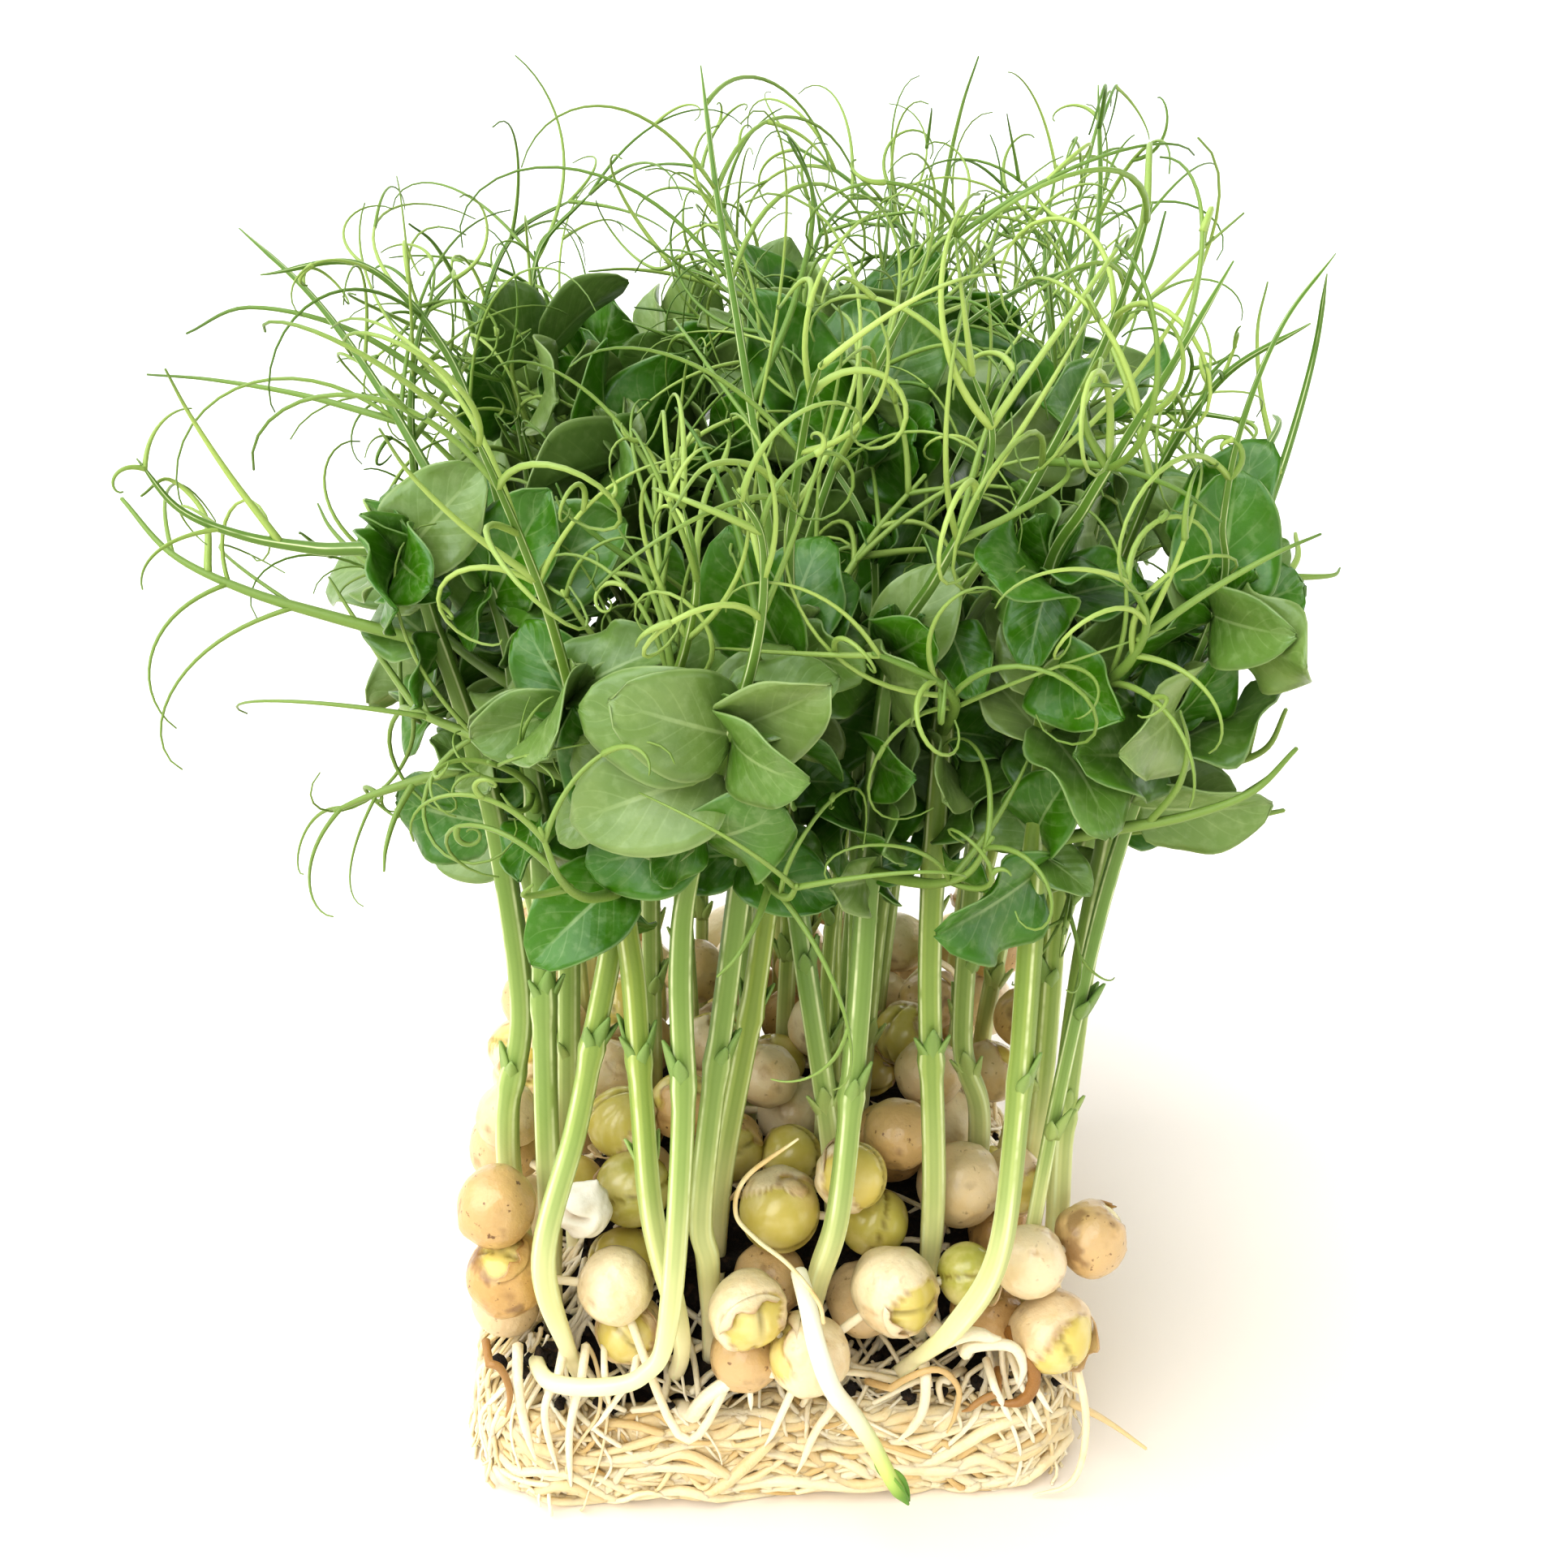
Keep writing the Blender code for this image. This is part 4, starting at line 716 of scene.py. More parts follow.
def add_blades(shoot, joint, space, wanted, thickness=BLADE_THICKNESS):
    """A pair of stipules that stand like wings on both sides of the stalk. A grown shoot takes
    the first drawn blade that is clear of the other shoots, and a measured one takes, of many,
    the one nearest to a measured place that is still wanted."""
    height, azimuth, size, _, _ = joint
    point, ahead = shoot.at_height(height * MM)
    rng = shoot.rng
    for side in (-1, 1):
        best, least = None, math.inf
        for attempt in range(60 if shoot.measured else TRIES):
            loose = 1 + min(attempt, 28) / 12
            spread = side * (80 + loose * rng.uniform(-22, 22))
            axis = heading(azimuth + spread, 28 + loose * rng.uniform(-30, 30))
            face = heading(azimuth + loose * rng.uniform(-20, 20), rng.uniform(-15, 45))
            blade = Blade(
                Blade.FULL if shoot.measured and size > 11 else Blade.PLAIN,
                point + (side * 0.5 - 0.6) * MM * ahead, axis, face,
                length=size * MM * rng.uniform(0.9, 1.1) * (1 - 0.006 * attempt),
                fold=math.radians(rng.uniform(8, 26)), curl=rng.uniform(0.2, 0.9),
                wave=rng.uniform(0.1, 0.25), phase=rng.uniform(0, 1),
            )
            if not space.is_free(blade.cover(), thickness / 2, shoot.number, point):
                continue
            if not shoot.measured:
                best = blade
                break
            middle = blade.surface(np.array((0.5,)), np.array((0.0,)))[0]
            misses = [np.linalg.norm(middle - place) for place in wanted] or [0.0]
            if min(misses) < least:
                best, least, nearest = blade, min(misses), int(np.argmin(misses))
        if best is None:
            continue
        if least < NEAR_ENOUGH:
            wanted.pop(nearest)
        space.take(best.cover(), thickness / 2, shoot.number)
        shoot.blades.append(best)


def turned(direction, rng, least, most):
    """A direction that leaves the given one by least to most degrees, any way round it, and the
    way in which it leaves."""
    side = across(rng.normal(size=3), direction)
    angle = math.radians(rng.uniform(least, most))
    return math.cos(angle) * direction + math.sin(angle) * side, side


def add_stalk(shoot, joint, space):
    """The leaf stalk with its end tendril. Of the drawn curves that meet nothing, a measured shoot
    takes the one whose tip is nearest to the joint's own. The top joint's stalk carries the stem
    on, and the others are pieces of their own."""
    height, azimuth, _, reach, rise = joint
    point, _ = shoot.at_height(height * MM)
    tip = point + heading(azimuth, rise) * reach * MM
    is_top = joint is shoot.joints[-1]
    rng = shoot.rng
    best, least = None, math.inf
    for attempt in range(48 if shoot.measured else 24):
        loose = 8 + attempt
        direction = heading(azimuth + loose * rng.uniform(-1, 1), rise + loose * rng.uniform(-1, 1))
        _, side = turned(direction, rng, 0, 1)
        length = reach * MM * rng.uniform(1, 1.2) * (1 - 0.006 * attempt)
        turn, power, drift = rng.uniform(20, 150), rng.uniform(2, 4), rng.uniform(-0.2, 0.2)
        curve = spiral(point, direction, side, length, turn, power, drift)
        line = along_line(curve, STALK_PLACES)
        if not space.is_free(filled_line(line), TENDRIL_RADIUS * 1.5, shoot.number, point):
            continue
        miss = np.linalg.norm(curve[-1] - tip) if shoot.measured else 0
        if miss < least:
            best, least = line, miss
        if not shoot.measured:
            break
    if best is None:
        return
    space.take(filled_line(best), TENDRIL_RADIUS * 1.5, shoot.number)
    if is_top:
        shoot.leader = best
    else:
        shoot.stalks.append(best)
    shoot.twigs.append((best, reach))


def add_tendril(shoot, stalk, reach, run, space):
    """A side tendril from the middle of one of the stalk's straight runs."""
    rng = shoot.rng
    start, ahead = (stalk[run] + stalk[run + 1]) / 2, unit(stalk[run + 1] - stalk[run])
    for attempt in range(16):
        direction, side = turned(ahead, rng, 32, 62)
        length = reach * MM * rng.uniform(0.42, 0.62) * (1 - 0.03 * attempt)
        turn, drift = rng.uniform(-150, 150), rng.uniform(-0.3, 0.3)
        line = along_line(spiral(start, direction, side, length, turn, 2, drift), TENDRIL_PLACES)
        if space.claim(line, TENDRIL_RADIUS, shoot.number, start):
            shoot.tendrils.append(line)
            return


def add_scale(shoot, joint, space):
    """A small scale leaf that leans off the stem."""
    height, azimuth, _, _, _ = joint
    point, _ = shoot.at_height(height * MM)
    line = point + np.outer((0, 2.4 * MM, 5 * MM), heading(azimuth, 58))
    if space.claim(line, TENDRIL_RADIUS, shoot.number):
        shoot.scales.append(joint)


def grow():
    """Every shoot and every group of peas, placed so that nothing touches what isn't its own."""
    space = Space()
    shoots = front_shoots(space)
    space.take(smooth_curve(np.array(HANGING_SPROUT) * MM, 40), SPROUT_RADIUS, SMALL_NUMBER)
    space.take(smooth_curve(np.array(DRY_THREAD) * MM, 40), THREAD_RADIUS, SMALL_NUMBER + 1)
    coat = np.array(EMPTY_COAT) * MM
    space.take(coat[None, :3], coat[3] / 2, SMALL_NUMBER + 2)
    peas = Peas(space)
    space.take_block()
    lay_measured_peas(peas)
    space.owner[space.owner == BLOCK_NUMBER] = 0
    shoots += grown_shoots(space, len(shoots) + 1)
    space.take_block()
    rng = draws(PEA_STREAM)
    lay_layer(peas, rng, LOWER_PEAS, LOWER_LAYER, LOWER_RING)
    lay_layer(peas, rng, UPPER_PEAS, UPPER_LAYER, MAT_WIDTH)
    groups = pea_groups(peas, space)
    for level in (-1, -2, -3):
        for shoot in shoots:
            if len(shoot.joints) >= -level and shoot.joints[level][3]:
                add_stalk(shoot, shoot.joints[level], space)
    wanted = [np.array(place) * MM for place in FRONT_BLADES]
    for shoot in shoots:
        for joint in shoot.joints:
            if joint[2]:
                add_blades(shoot, joint, space, wanted)
            else:
                add_scale(shoot, joint, space)
    for shoot in shoots:
        for place, (stalk, reach) in enumerate(shoot.twigs):
            add_tendril(shoot, stalk, reach, 1 + place % 2, space)
    return shoots, groups, peas, space


# Fine shapes: every surface is a grid of points worked out as whole arrays


def object_of(name, data, *finishes):
    """The object of a mesh with its finishes, or of a light or the camera, in the scene."""
    if finishes:
        data.shade_smooth()
    for finish in finishes:
        data.materials.append(finish)
    thing = bpy.data.objects.new(name, data)
    bpy.context.scene.collection.objects.link(thing)
    return thing


def grid_values(rows, columns):
    """For every place of a grid, its row's value and its column's value."""
    return np.meshgrid(rows, columns, indexing="ij")


def smooth_curves(lines, count):
    """count points on the curve through the corners of each line."""
    return np.array([smooth_curve(line, count) for line in lines])


class Skin:
    """The closed surfaces of one piece in the making. Each point has named values that the
    finishes read, and each face the number of its finish."""

    def __init__(self, *finishes):
        self.finishes = finishes
        self.points, self.faces, self.numbers, self.values = [], [], [], []
        self.count = 0

    def add(self, points, faces, finish=0, **values):
        """Adds points (n, 3) and faces (m, 4), with one number or n numbers for each value. A
        triangle gives its last corner twice."""
        self.points.append(points)
        self.faces.append(faces + self.count)
        self.numbers.append(np.full(len(faces), finish))
        self.values.append((len(points), values))
        self.count += len(points)

    def piece(self, name, *nodes, slot):
        """Makes the object, which rides on the block in place of the nodes."""
        points, faces = np.vstack(self.points), np.vstack(self.faces)
        numbers = np.concatenate(self.numbers)
        is_quad = faces[:, 2] != faces[:, 3]
        corners = np.concatenate((faces[is_quad].ravel(), faces[~is_quad, :3].ravel()))
        sizes = np.concatenate((np.full(is_quad.sum(), 4), np.full((~is_quad).sum(), 3)))
        starts = np.concatenate(([0], np.cumsum(sizes)[:-1]))
        order = np.concatenate((numbers[is_quad], numbers[~is_quad]))
        mesh = bpy.data.meshes.new(name)
        mesh.vertices.add(len(points))
        mesh.loops.add(len(corners))
        mesh.polygons.add(len(sizes))
        mesh.vertices.foreach_set("co", points.astype(np.float32).ravel())
        mesh.loops.foreach_set("vertex_index", corners.astype(np.int32))
        mesh.polygons.foreach_set("loop_start", starts.astype(np.int32))
        mesh.polygons.foreach_set("material_index", order.astype(np.int32))
        for key in sorted({key for _, values in self.values for key in values}):
            parts = [np.broadcast_to(values.get(key, 0.0), size) for size, values in self.values]
            layer = mesh.attributes.new(key, "FLOAT", "POINT")
            layer.data.foreach_set("value", np.concatenate(parts).astype(np.float32))
        mesh.update(calc_edges=True)
        thing = object_of(name, mesh, *self.finishes)
        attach(thing, "root")
        if nodes:
            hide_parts(*nodes)


def grid_faces(rows, columns, closed=False):
    """The faces between neighbours of a grid of points, round a ring where it is closed."""
    row, column = np.mgrid[0 : rows - 1, 0 : columns - (not closed)]
    after = (column + 1) % columns
    corners = (row, column), (row + 1, column), (row + 1, after), (row, after)
    return np.stack([(i * columns + j).ravel() for i, j in corners], axis=1)


def add_plate(skin, grid, half, finish=0, **values):
    """A thin closed plate over a grid of points (rows, columns, 3): the grid moved half its
    thickness to both sides along its normals, and a rim between the two faces."""
    rows, columns = grid.shape[:2]
    normal = np.cross(np.gradient(grid, axis=0), np.gradient(grid, axis=1))
    normal /= np.linalg.norm(normal, axis=2, keepdims=True) + 1e-12
    shift = normal * np.broadcast_to(half, (rows, columns))[..., None]
    count = rows * columns
    top = grid_faces(rows, columns)
    number = np.arange(count).reshape(rows, columns)
    rim = np.concatenate(
        (number[:-1, 0], number[-1, :-1], number[:0:-1, -1], number[0, :0:-1])
    )
    after = np.roll(rim, -1)
    edge = np.stack((rim, rim + count, after + count, after), axis=1)
    points = np.vstack(((grid + shift).reshape(-1, 3), (grid - shift).reshape(-1, 3)))
    values = {
        key: np.tile(np.broadcast_to(value, (rows, columns)).ravel(), 2)
        for key, value in values.items()
    }
    skin.add(points, np.vstack((top, top[:, ::-1] + count, edge)), finish, **values)


def add_rings(skin, rings, finish=0, ends=None, **values):
    """A closed surface through rings (n, rings, sides, 3), n of them at once, with a point at
    both ends (n, 2, 3), or at the middles of the end rings."""
    count, length, sides = rings.shape[:3]
    if ends is None:
        ends = rings[:, (0, -1)].mean(axis=2)
    size = length * sides + 2
    points = np.concatenate((rings.reshape(count, -1, 3), ends), axis=1)
    i = np.arange(sides)
    after = (i + 1) % sides
    first, last = np.full(sides, size - 2), np.full(sides, size - 1)
    body = grid_faces(length, sides, closed=True)[:, ::-1]
    start = np.stack((first, after, i, i), axis=1)
    low = (length - 1) * sides
    end = np.stack((last, low + i, low + after, low + after), axis=1)
    one = np.vstack((body, start, end))
    faces = (one[None] + np.arange(count)[:, None, None] * size).reshape(-1, 4)
    spread = {}
    for key, value in values.items():
        value = np.asarray(value, float)
        value = value.reshape(value.shape + (1,) * (3 - value.ndim)) if value.ndim else value
        full = np.broadcast_to(value, (count, length, sides))
        tips = full[:, (0, -1), 0]
        spread[key] = np.concatenate((full.reshape(count, -1), tips), axis=1).ravel()
    skin.add(points.reshape(-1, 3), faces, finish, **spread)


def length_one(vectors):
    """The vectors of an array at length 1."""
    return vectors / (np.linalg.norm(vectors, axis=-1, keepdims=True) + 1e-12)


def add_tubes(skin, lines, radii, sides, finish=0, corners=0.0, **values):
    """Round tubes along lines (n, m, 3) with radii (n, m). Each ring is square to its line and
    takes over the side of the ring before it. corners makes the section four-cornered and
    finely ribbed: the radius is 1 + corners * (0.7 * cos(4 * angle) + 0.3 * cos(8 * angle))
    times its own."""
    lines = np.asarray(lines, float)
    ahead = length_one(np.gradient(lines, axis=1))
    side = length_one(np.cross(ahead[:, 0], (0.31, 0.17, 0.93)))
    found = []
    for place in range(lines.shape[1]):
        way = ahead[:, place]
        side = length_one(side - way * np.sum(side * way, axis=1, keepdims=True))
        found.append(side)
    side = np.stack(found, axis=1)[:, :, None]
    up = np.cross(ahead[:, :, None], side)
    angle = (2 * math.pi * np.arange(sides) / sides)[:, None]
    ridge = 0.7 * np.cos(4 * angle[:, 0]) + 0.3 * np.cos(8 * angle[:, 0])
    reach = np.broadcast_to(radii, lines.shape[:2])[..., None] * (1 + corners * ridge)
    rings = lines[:, :, None] + reach[..., None] * (np.cos(angle) * side + np.sin(angle) * up)
    tip = np.broadcast_to(radii, lines.shape[:2])[:, (0, -1), None] * 0.8
    ends = lines[:, (0, -1)] + tip * ahead[:, (0, -1)] * np.array((-1, 1))[None, :, None]
    values.setdefault("ridge", np.broadcast_to(ridge, rings.shape[:3]))
    add_rings(skin, rings, finish, ends, **values)


def add_ball(skin, middle, radius_at, rows, columns):
    """A ball-like closed surface. radius_at gives, for unit directions (rows, columns, 3), the
    radius in each and a dict of values."""
    polar = (np.arange(rows) + 0.5)[:, None] / rows * math.pi
    around = 2 * math.pi * np.arange(columns) / columns
    upright = np.repeat(np.cos(polar), columns, axis=1)
    ways = np.stack((np.sin(polar) * np.cos(around), np.sin(polar) * np.sin(around), upright), 2)
    reach, values = radius_at(ways)
    rings = (middle + ways * reach[..., None])[None, ::-1]
    add_rings(skin, rings, **{key: value[None, ::-1] for key, value in values.items()})


def ripples(points, rng, size, count=7):
    """Smooth noise between about -1 and 1 over points (..., 3): a sum of sine waves of drawn
    directions and phases, with lengths near size."""
    total = np.zeros(points.shape[:-1])
    for _ in range(count):
        wave = unit(rng.normal(size=3)) * 2 * math.pi / (size * rng.uniform(0.6, 1.6))
        total += np.sin(points @ wave + rng.uniform(0, 2 * math.pi))
    return total / math.sqrt(count / 2)


def smoothstep(low, high, value):
    """0 at low, 1 at high, and a smooth rise or fall between them."""
    share = np.clip((value - low) / (high - low), 0, 1)
    return share * share * (3 - 2 * share)


def in_box(line):
    """True if the line stays within the box of the solids, with room for its thickness, and
    within the slanting sides of the crown. The right side slants outwards to the back of the
    block, and both sides slant inwards above the crown's shoulder."""
    room = 0.4 * MM
    inside = np.all(line > BOX_LOW + room) and np.all(line < BOX_HIGH - room)
    x, y, z = line.T
    over = np.maximum(z - CROWN_SHOULDER, 0)
    right = CROWN_RIGHT + 0.375 * y - 0.25 * over
    left = CROWN_LEFT + 0.9 * over
    return bool(inside and np.all(x < right) and np.all(x > left))


# Fine shoots


def add_stem(skin, shoot):
    """The stem and its top stalk: a four-cornered tube with a thicker ring at each joint. It is
    slimmer than its solid, most of all at the foot and in the crown, and thins at its end."""
    corners, thick = shoot.trunk()
    line = smooth_curve(corners, STEM_RINGS)
    height = line[:, 2]
    place = np.linspace(0, len(corners) - 1, STEM_RINGS)
    radii = shoot.slim * np.interp(place, np.arange(len(corners)), thick)
    radii = radii * (0.66 + 0.34 * smoothstep(20 * MM, 34 * MM, height))
    radii = radii * (1 - 0.28 * smoothstep(78 * MM, 106 * MM, height))
    for joint, *_ in shoot.joints:
        near = (height - joint * MM) / JOINT_LENGTH
        radii = radii * (1 + JOINT_SWELL * np.exp(-near**2))
    radii[-6:] *= np.linspace(1, 0.35, 6)
    own = draws(STEM_STREAM, shoot.number).uniform(0, 1)
    add_tubes(skin, line[None], radii[None], 24, corners=0.06, own=own)


def add_leaf(skin, blade, rng, rows=17, columns=11):
    """A leaf blade on its solid's surface. Its outline is an egg with a small point at the tip
    and a few teeth near the base, the margin waves a little, and the plate thins towards it.
    Leaves at the front of the block are painted paler, a painted sheen."""
    front = smoothstep(*FRONT_LEAVES, blade.base[1])
    along, out = grid_values(np.linspace(0.012, 0.99, rows), np.linspace(-1, 1, columns))
    away = np.abs(out)
    teeth = np.abs((along * LEAF_TEETH + rng.uniform(0, 1)) % 1 - 0.5) * 2
    depth = 0.09 * smoothstep(0.34, 0.06, along)
    reach = 1 + depth * (teeth - 0.5) * away**5
    reach = reach * np.sin(math.pi * along**0.75) ** -0.2 * smoothstep(1.02, 0.95, along)
    waves = np.sin(2 * math.pi * (1.7 * along + rng.uniform(0, 1))) * away**3
    grid = blade.surface(along, out * reach)
    grid = grid + (0.03 * blade.length * waves)[..., None] * blade.face
    half = LEAF_HALF * (1 - 0.55 * out**2)
    # Painted sheen: leaves at the front take the pale end of the tint.
    tint = rng.uniform(0, 1) * (1 - front) + rng.uniform(0.6, 1) * front
    add_plate(skin, grid, half, 1, along=along, out=out, tint=tint)


def add_scale_leaf(skin, shoot, height, azimuth):
    """A small scale leaf with three points that clasps the stem and stands off it."""
    point, ahead = shoot.at_height(height * MM)
    along, out = grid_values(np.linspace(0.02, 0.98, 8), np.linspace(-1, 1, 5))
    narrow = 0.75 * (1 - 0.55 * along)
    for turn, length, lean in SCALE_POINTS:
        side = across(heading(azimuth + turn, 0), ahead)
        blade = Blade(
            Blade.PLAIN, point + 1.0 * MM * side, unit(ahead + lean * side), -side,
            length=length * MM, fold=0.6, curl=-0.12, wave=0.0, phase=0.0,
        )
        grid = blade.surface(along, out * narrow)
        add_plate(skin, grid, SMALL_LEAF_HALF, ridge=0.3 * np.abs(out) - 0.1, tint=0.5)


def add_bud(skin, shoot):
    """The young leaves at the top of the shoot, still folded round the stalk."""
    rng = shoot.rng
    point, ahead = shoot.stem[-1], unit(shoot.stem[-1] - shoot.stem[-2])
    azimuth = shoot.joints[-1][1]
    for side in (-1, 1):
        way = unit(ahead + 0.45 * heading(azimuth + side * rng.uniform(70, 110), 20))
        blade = Blade(
            Blade.PLAIN, point + side * 0.4 * MM * across(way, ahead), way,
            heading(azimuth + 180, 0) + 0.1 * ahead, length=rng.uniform(4.5, 7) * MM,
            fold=math.radians(rng.uniform(35, 60)), curl=0.4, wave=0.1, phase=rng.uniform(0, 1),
        )
        add_leaf(skin, blade, rng, rows=10, columns=7)


def tendril_line(start, way, bend, length, turn, hook, drift):
    """A fine tendril's middle line. Its direction turns from way towards bend by turn degrees,
    evenly at first, and by hook degrees more close to the tip."""
    s = np.linspace(0, 1, TENDRIL_STEPS)
    angle = np.radians(turn * s**1.4 + hook * s**7)
    return curled_line(start, way, bend, length, angle, drift)


def add_side_tendrils(found, rng, line, share, length, loops, sides=(-1, 1)):
    """Adds the lines of a pair of tendrils that leave a stalk's line on both sides and mostly
    bend down. loops is the share of them that curl round. One that would leave the box is drawn
    again, a little shorter each time."""
    start = along_line(line, [share])[0]
    ahead = unit(start - along_line(line, [share - 0.05])[0])
    flat = across(rng.normal(size=3), ahead)
    for side in sides:
        is_loop = rng.uniform() < loops
        for attempt in range(14):
            angle = math.radians(rng.uniform(18, 52))
            out = across(side * flat + rng.normal(size=3) * 0.3, ahead)
            way = math.cos(angle) * ahead + math.sin(angle) * out
            bend = across(out + rng.normal(size=3) * 0.6 - (0, 0, 0.7), way)
            turn = rng.uniform(190, 330) if is_loop else rng.uniform(30, 150)
            bend = rng.choice((-1, 1, 1, 1)) * bend
            hook, drift = rng.uniform(0, 90), rng.uniform(-0.25, 0.25)
            shorter = length * (1 - 0.05 * attempt)
            curve = tendril_line(start, way, bend, shorter, turn, hook, drift)
            if in_box(curve):
                found.append(curve)
                break


def tendril_lines(shoot):
    """The lines of all the fine tendrils of a shoot: up to four pairs on each stalk, some of
    them forked. Those at the front of the block are longer and more of them are loops."""
    rng = draws(TENDRIL_STREAM, shoot.number)
    found = []
    is_front = shoot.stem[-1, 1] < -30 * MM
    loops, longer = (0.35, 1.35) if is_front else (0.14, 1.0)
    for stalk, reach in shoot.twigs:
        line = smooth_curve(stalk, 60)
        for share in (0.42, 0.62, 0.8, 0.97) if reach > LONG_STALK else (0.66, 0.96):
            length = rng.uniform(0.42, 0.75) * (1.25 - 0.5 * share) * max(reach, 26) * MM * longer
            add_side_tendrils(found, rng, line, share + rng.uniform(-0.05, 0.02), length, loops)
    for line in list(found):
        if rng.uniform() < FORKED:
            length = rng.uniform(0.4, 0.6) * np.linalg.norm(line[-1] - line[0])
            share, sides = rng.uniform(0.35, 0.6), (rng.choice((-1, 1)),)
            add_side_tendrils(found, rng, line, share, length, loops, sides)
    return found


def add_shoot(shoot, finishes, *nodes):
    """The visual piece of one shoot: stem, leaves, scale leaves, stalks and tendrils."""
    skin = Skin(*finishes)
    rng = draws(SHOOT_STREAM, shoot.number)
    add_stem(skin, shoot)
    for blade in shoot.blades:
        add_leaf(skin, blade, rng)
    add_bud(skin, shoot)
    for height, azimuth, size, _, _ in shoot.joints:
        if not size:
            add_scale_leaf(skin, shoot, height, azimuth)
    if not shoot.scales:
        for least, most in ((40, 48), (56, 64)):
            add_scale_leaf(skin, shoot, rng.uniform(least, most), rng.uniform(0, 360))
    if shoot.stalks:
        radii = np.linspace(0.7, 0.22, 30)[None] * MM
        add_tubes(skin, smooth_curves(shoot.stalks, 30), radii, 8, 2, tint=rng.uniform(0, 1))
    if shoot.tendrils:
        taper = np.linspace(1, 0.28, 22)[None]
        lines, tint = smooth_curves(shoot.tendrils, 22), rng.uniform(0, 1)
        add_tubes(skin, lines, 0.42 * MM * taper, 6, 2, tint=tint, tip=1 - taper)
    fine = tendril_lines(shoot)
    front = smoothstep(-26 * MM, -38 * MM, shoot.stem[-1, 1])
    tints = np.clip(rng.uniform(0, 0.8, len(fine)) + 0.3 * front, 0, 1)
    taper = np.linspace(1, 0.3, TENDRIL_STEPS)[None]
    thick = (rng.uniform(0.2, 0.3, len(fine)) + 0.08 * front)[:, None] * taper * MM
    if fine:
        add_tubes(skin, np.array(fine), thick, 5, 2, tint=tints, tip=1 - taper)
    skin.piece(shoot.name + "_fine", *nodes, slot="shoot")


# Fine peas


def pea_look(place, rng):
    """The look of a pea: the measured one's if it is one of those, or else a drawn one."""
    apart = [np.linalg.norm(place[:3] / MM - np.array(entry[:3])) for entry in FRONT_PEAS]
    if min(apart) < 4.5:
        return FRONT_LOOKS[int(np.argmin(apart))]
    tear = 0 if rng.uniform() < UNTORN else rng.uniform(35, 130)
    azimuth, rise = rng.uniform(0, 360), rng.uniform(-30, 60)
    return tear, azimuth, rise, rng.uniform(0, 1) ** 1.3, rng.uniform(0, 0.6) ** 2


def add_pea(skin, place, rng):
    """A swollen pea: two yellow halves with a groove between them, in a coat that may be torn
    open. Where the coat covers it, the radius is a little larger and faintly wrinkled, with a
    sunk seam along a wandering line and folds that run to the tear."""
    tear, azimuth, rise, tan, green = pea_look(place, rng)
    open_way = heading(azimuth, rise)
    split = across(rng.normal(size=3), open_way)
    radius = 1.06 * place[3] / 2
    hilum = across(rng.normal(size=3) + (0, -0.8, 0), heading(rng.uniform(0, 360), 80))

    def radius_at(ways):
        away = np.arccos(np.clip(ways @ open_way, -1, 1))
        edge = math.radians(tear) * (1 + 0.16 * ripples(ways, rng, 1.1)) - 0.12 * (tear == 0)
        past = away - edge
        coat = smoothstep(-0.035, 0.035, past)
        wrinkle = ripples(ways, rng, 0.7) * 0.014 + ripples(ways, rng, 0.3) * 0.005
        seam = smoothstep(0.07, 0.0, np.abs(ripples(ways, rng, 2.6, 4)))
        turn = np.arctan2(ways @ np.cross(open_way, split), ways @ split)
        folds = np.cos(8 * turn + 2.5 * ripples(ways, rng, 1.4)) * smoothstep(0, 0.3, away)
        folds = folds * np.exp(-np.maximum(past, 0) / 0.4)
        wrinkle = wrinkle - 0.014 * seam + 0.022 * folds
        groove = np.exp(-((ways @ split / 0.055) ** 2)) * GROOVE
        plump = 0.026 * ripples(ways, rng, 2.2)
        bare = 0.93 - groove + 0.02 * np.abs(ways @ split)
        covered = 1.0 + wrinkle - 0.02 * np.exp(-((past / 0.25) ** 2))
        values = {
            "coat": coat,
            "tan": np.full(coat.shape, tan),
            "green": np.full(coat.shape, green),
            # seam and groove also carry the painted shade of those creases.
            "seam": seam * coat,
            "groove": groove / GROOVE * (1 - coat),
            "torn": np.exp(-((past / 0.07) ** 2)) * (tear > 0),
            "hilum": smoothstep(0.2, 0.05, np.arccos(np.clip(ways @ hilum, -1, 1))) * coat,
        }
        return radius * (bare * (1 - coat) + covered * coat + plump), values

    add_ball(skin, place[:3], radius_at, rows=26, columns=40)
    if tear:
        add_flap(skin, place, open_way, math.radians(tear), radius, rng, tan)


def add_flap(skin, place, way, tear, radius, rng, tan):
    """A strip of torn coat that stands up from the edge of the tear: it follows the edge for a
    part of a turn and curls outwards as it rises."""
    side = across(rng.normal(size=3), way)
    up = np.cross(way, side)
    start, span = rng.uniform(0, 6), rng.uniform(1.2, 3.2)
    turn, height = grid_values(start + np.linspace(0, span, 16), np.linspace(0, 1, 6))
    share = np.linspace(0, 1, 16)[:, None]
    tall = np.sin(math.pi * share) ** 0.6 * (0.75 + 0.25 * np.sin(share * 17 + rng.uniform(0, 6)))
    polar = np.clip(tear + 0.12 - height * tall * rng.uniform(0.25, 0.5), 0.05, 3)
    reach = radius * (1.0 + 0.02 + 0.16 * rng.uniform(0.3, 1.2) * (height * tall) ** 1.6)
    ring = np.cos(turn)[..., None] * side + np.sin(turn)[..., None] * up
    ways = np.cos(polar)[..., None] * way + np.sin(polar)[..., None] * ring
    grid = place[:3] + reach[..., None] * ways
    add_plate(skin, grid, FLAP_HALF, coat=1.0, torn=height**4, tan=tan)


# Fine roots and medium


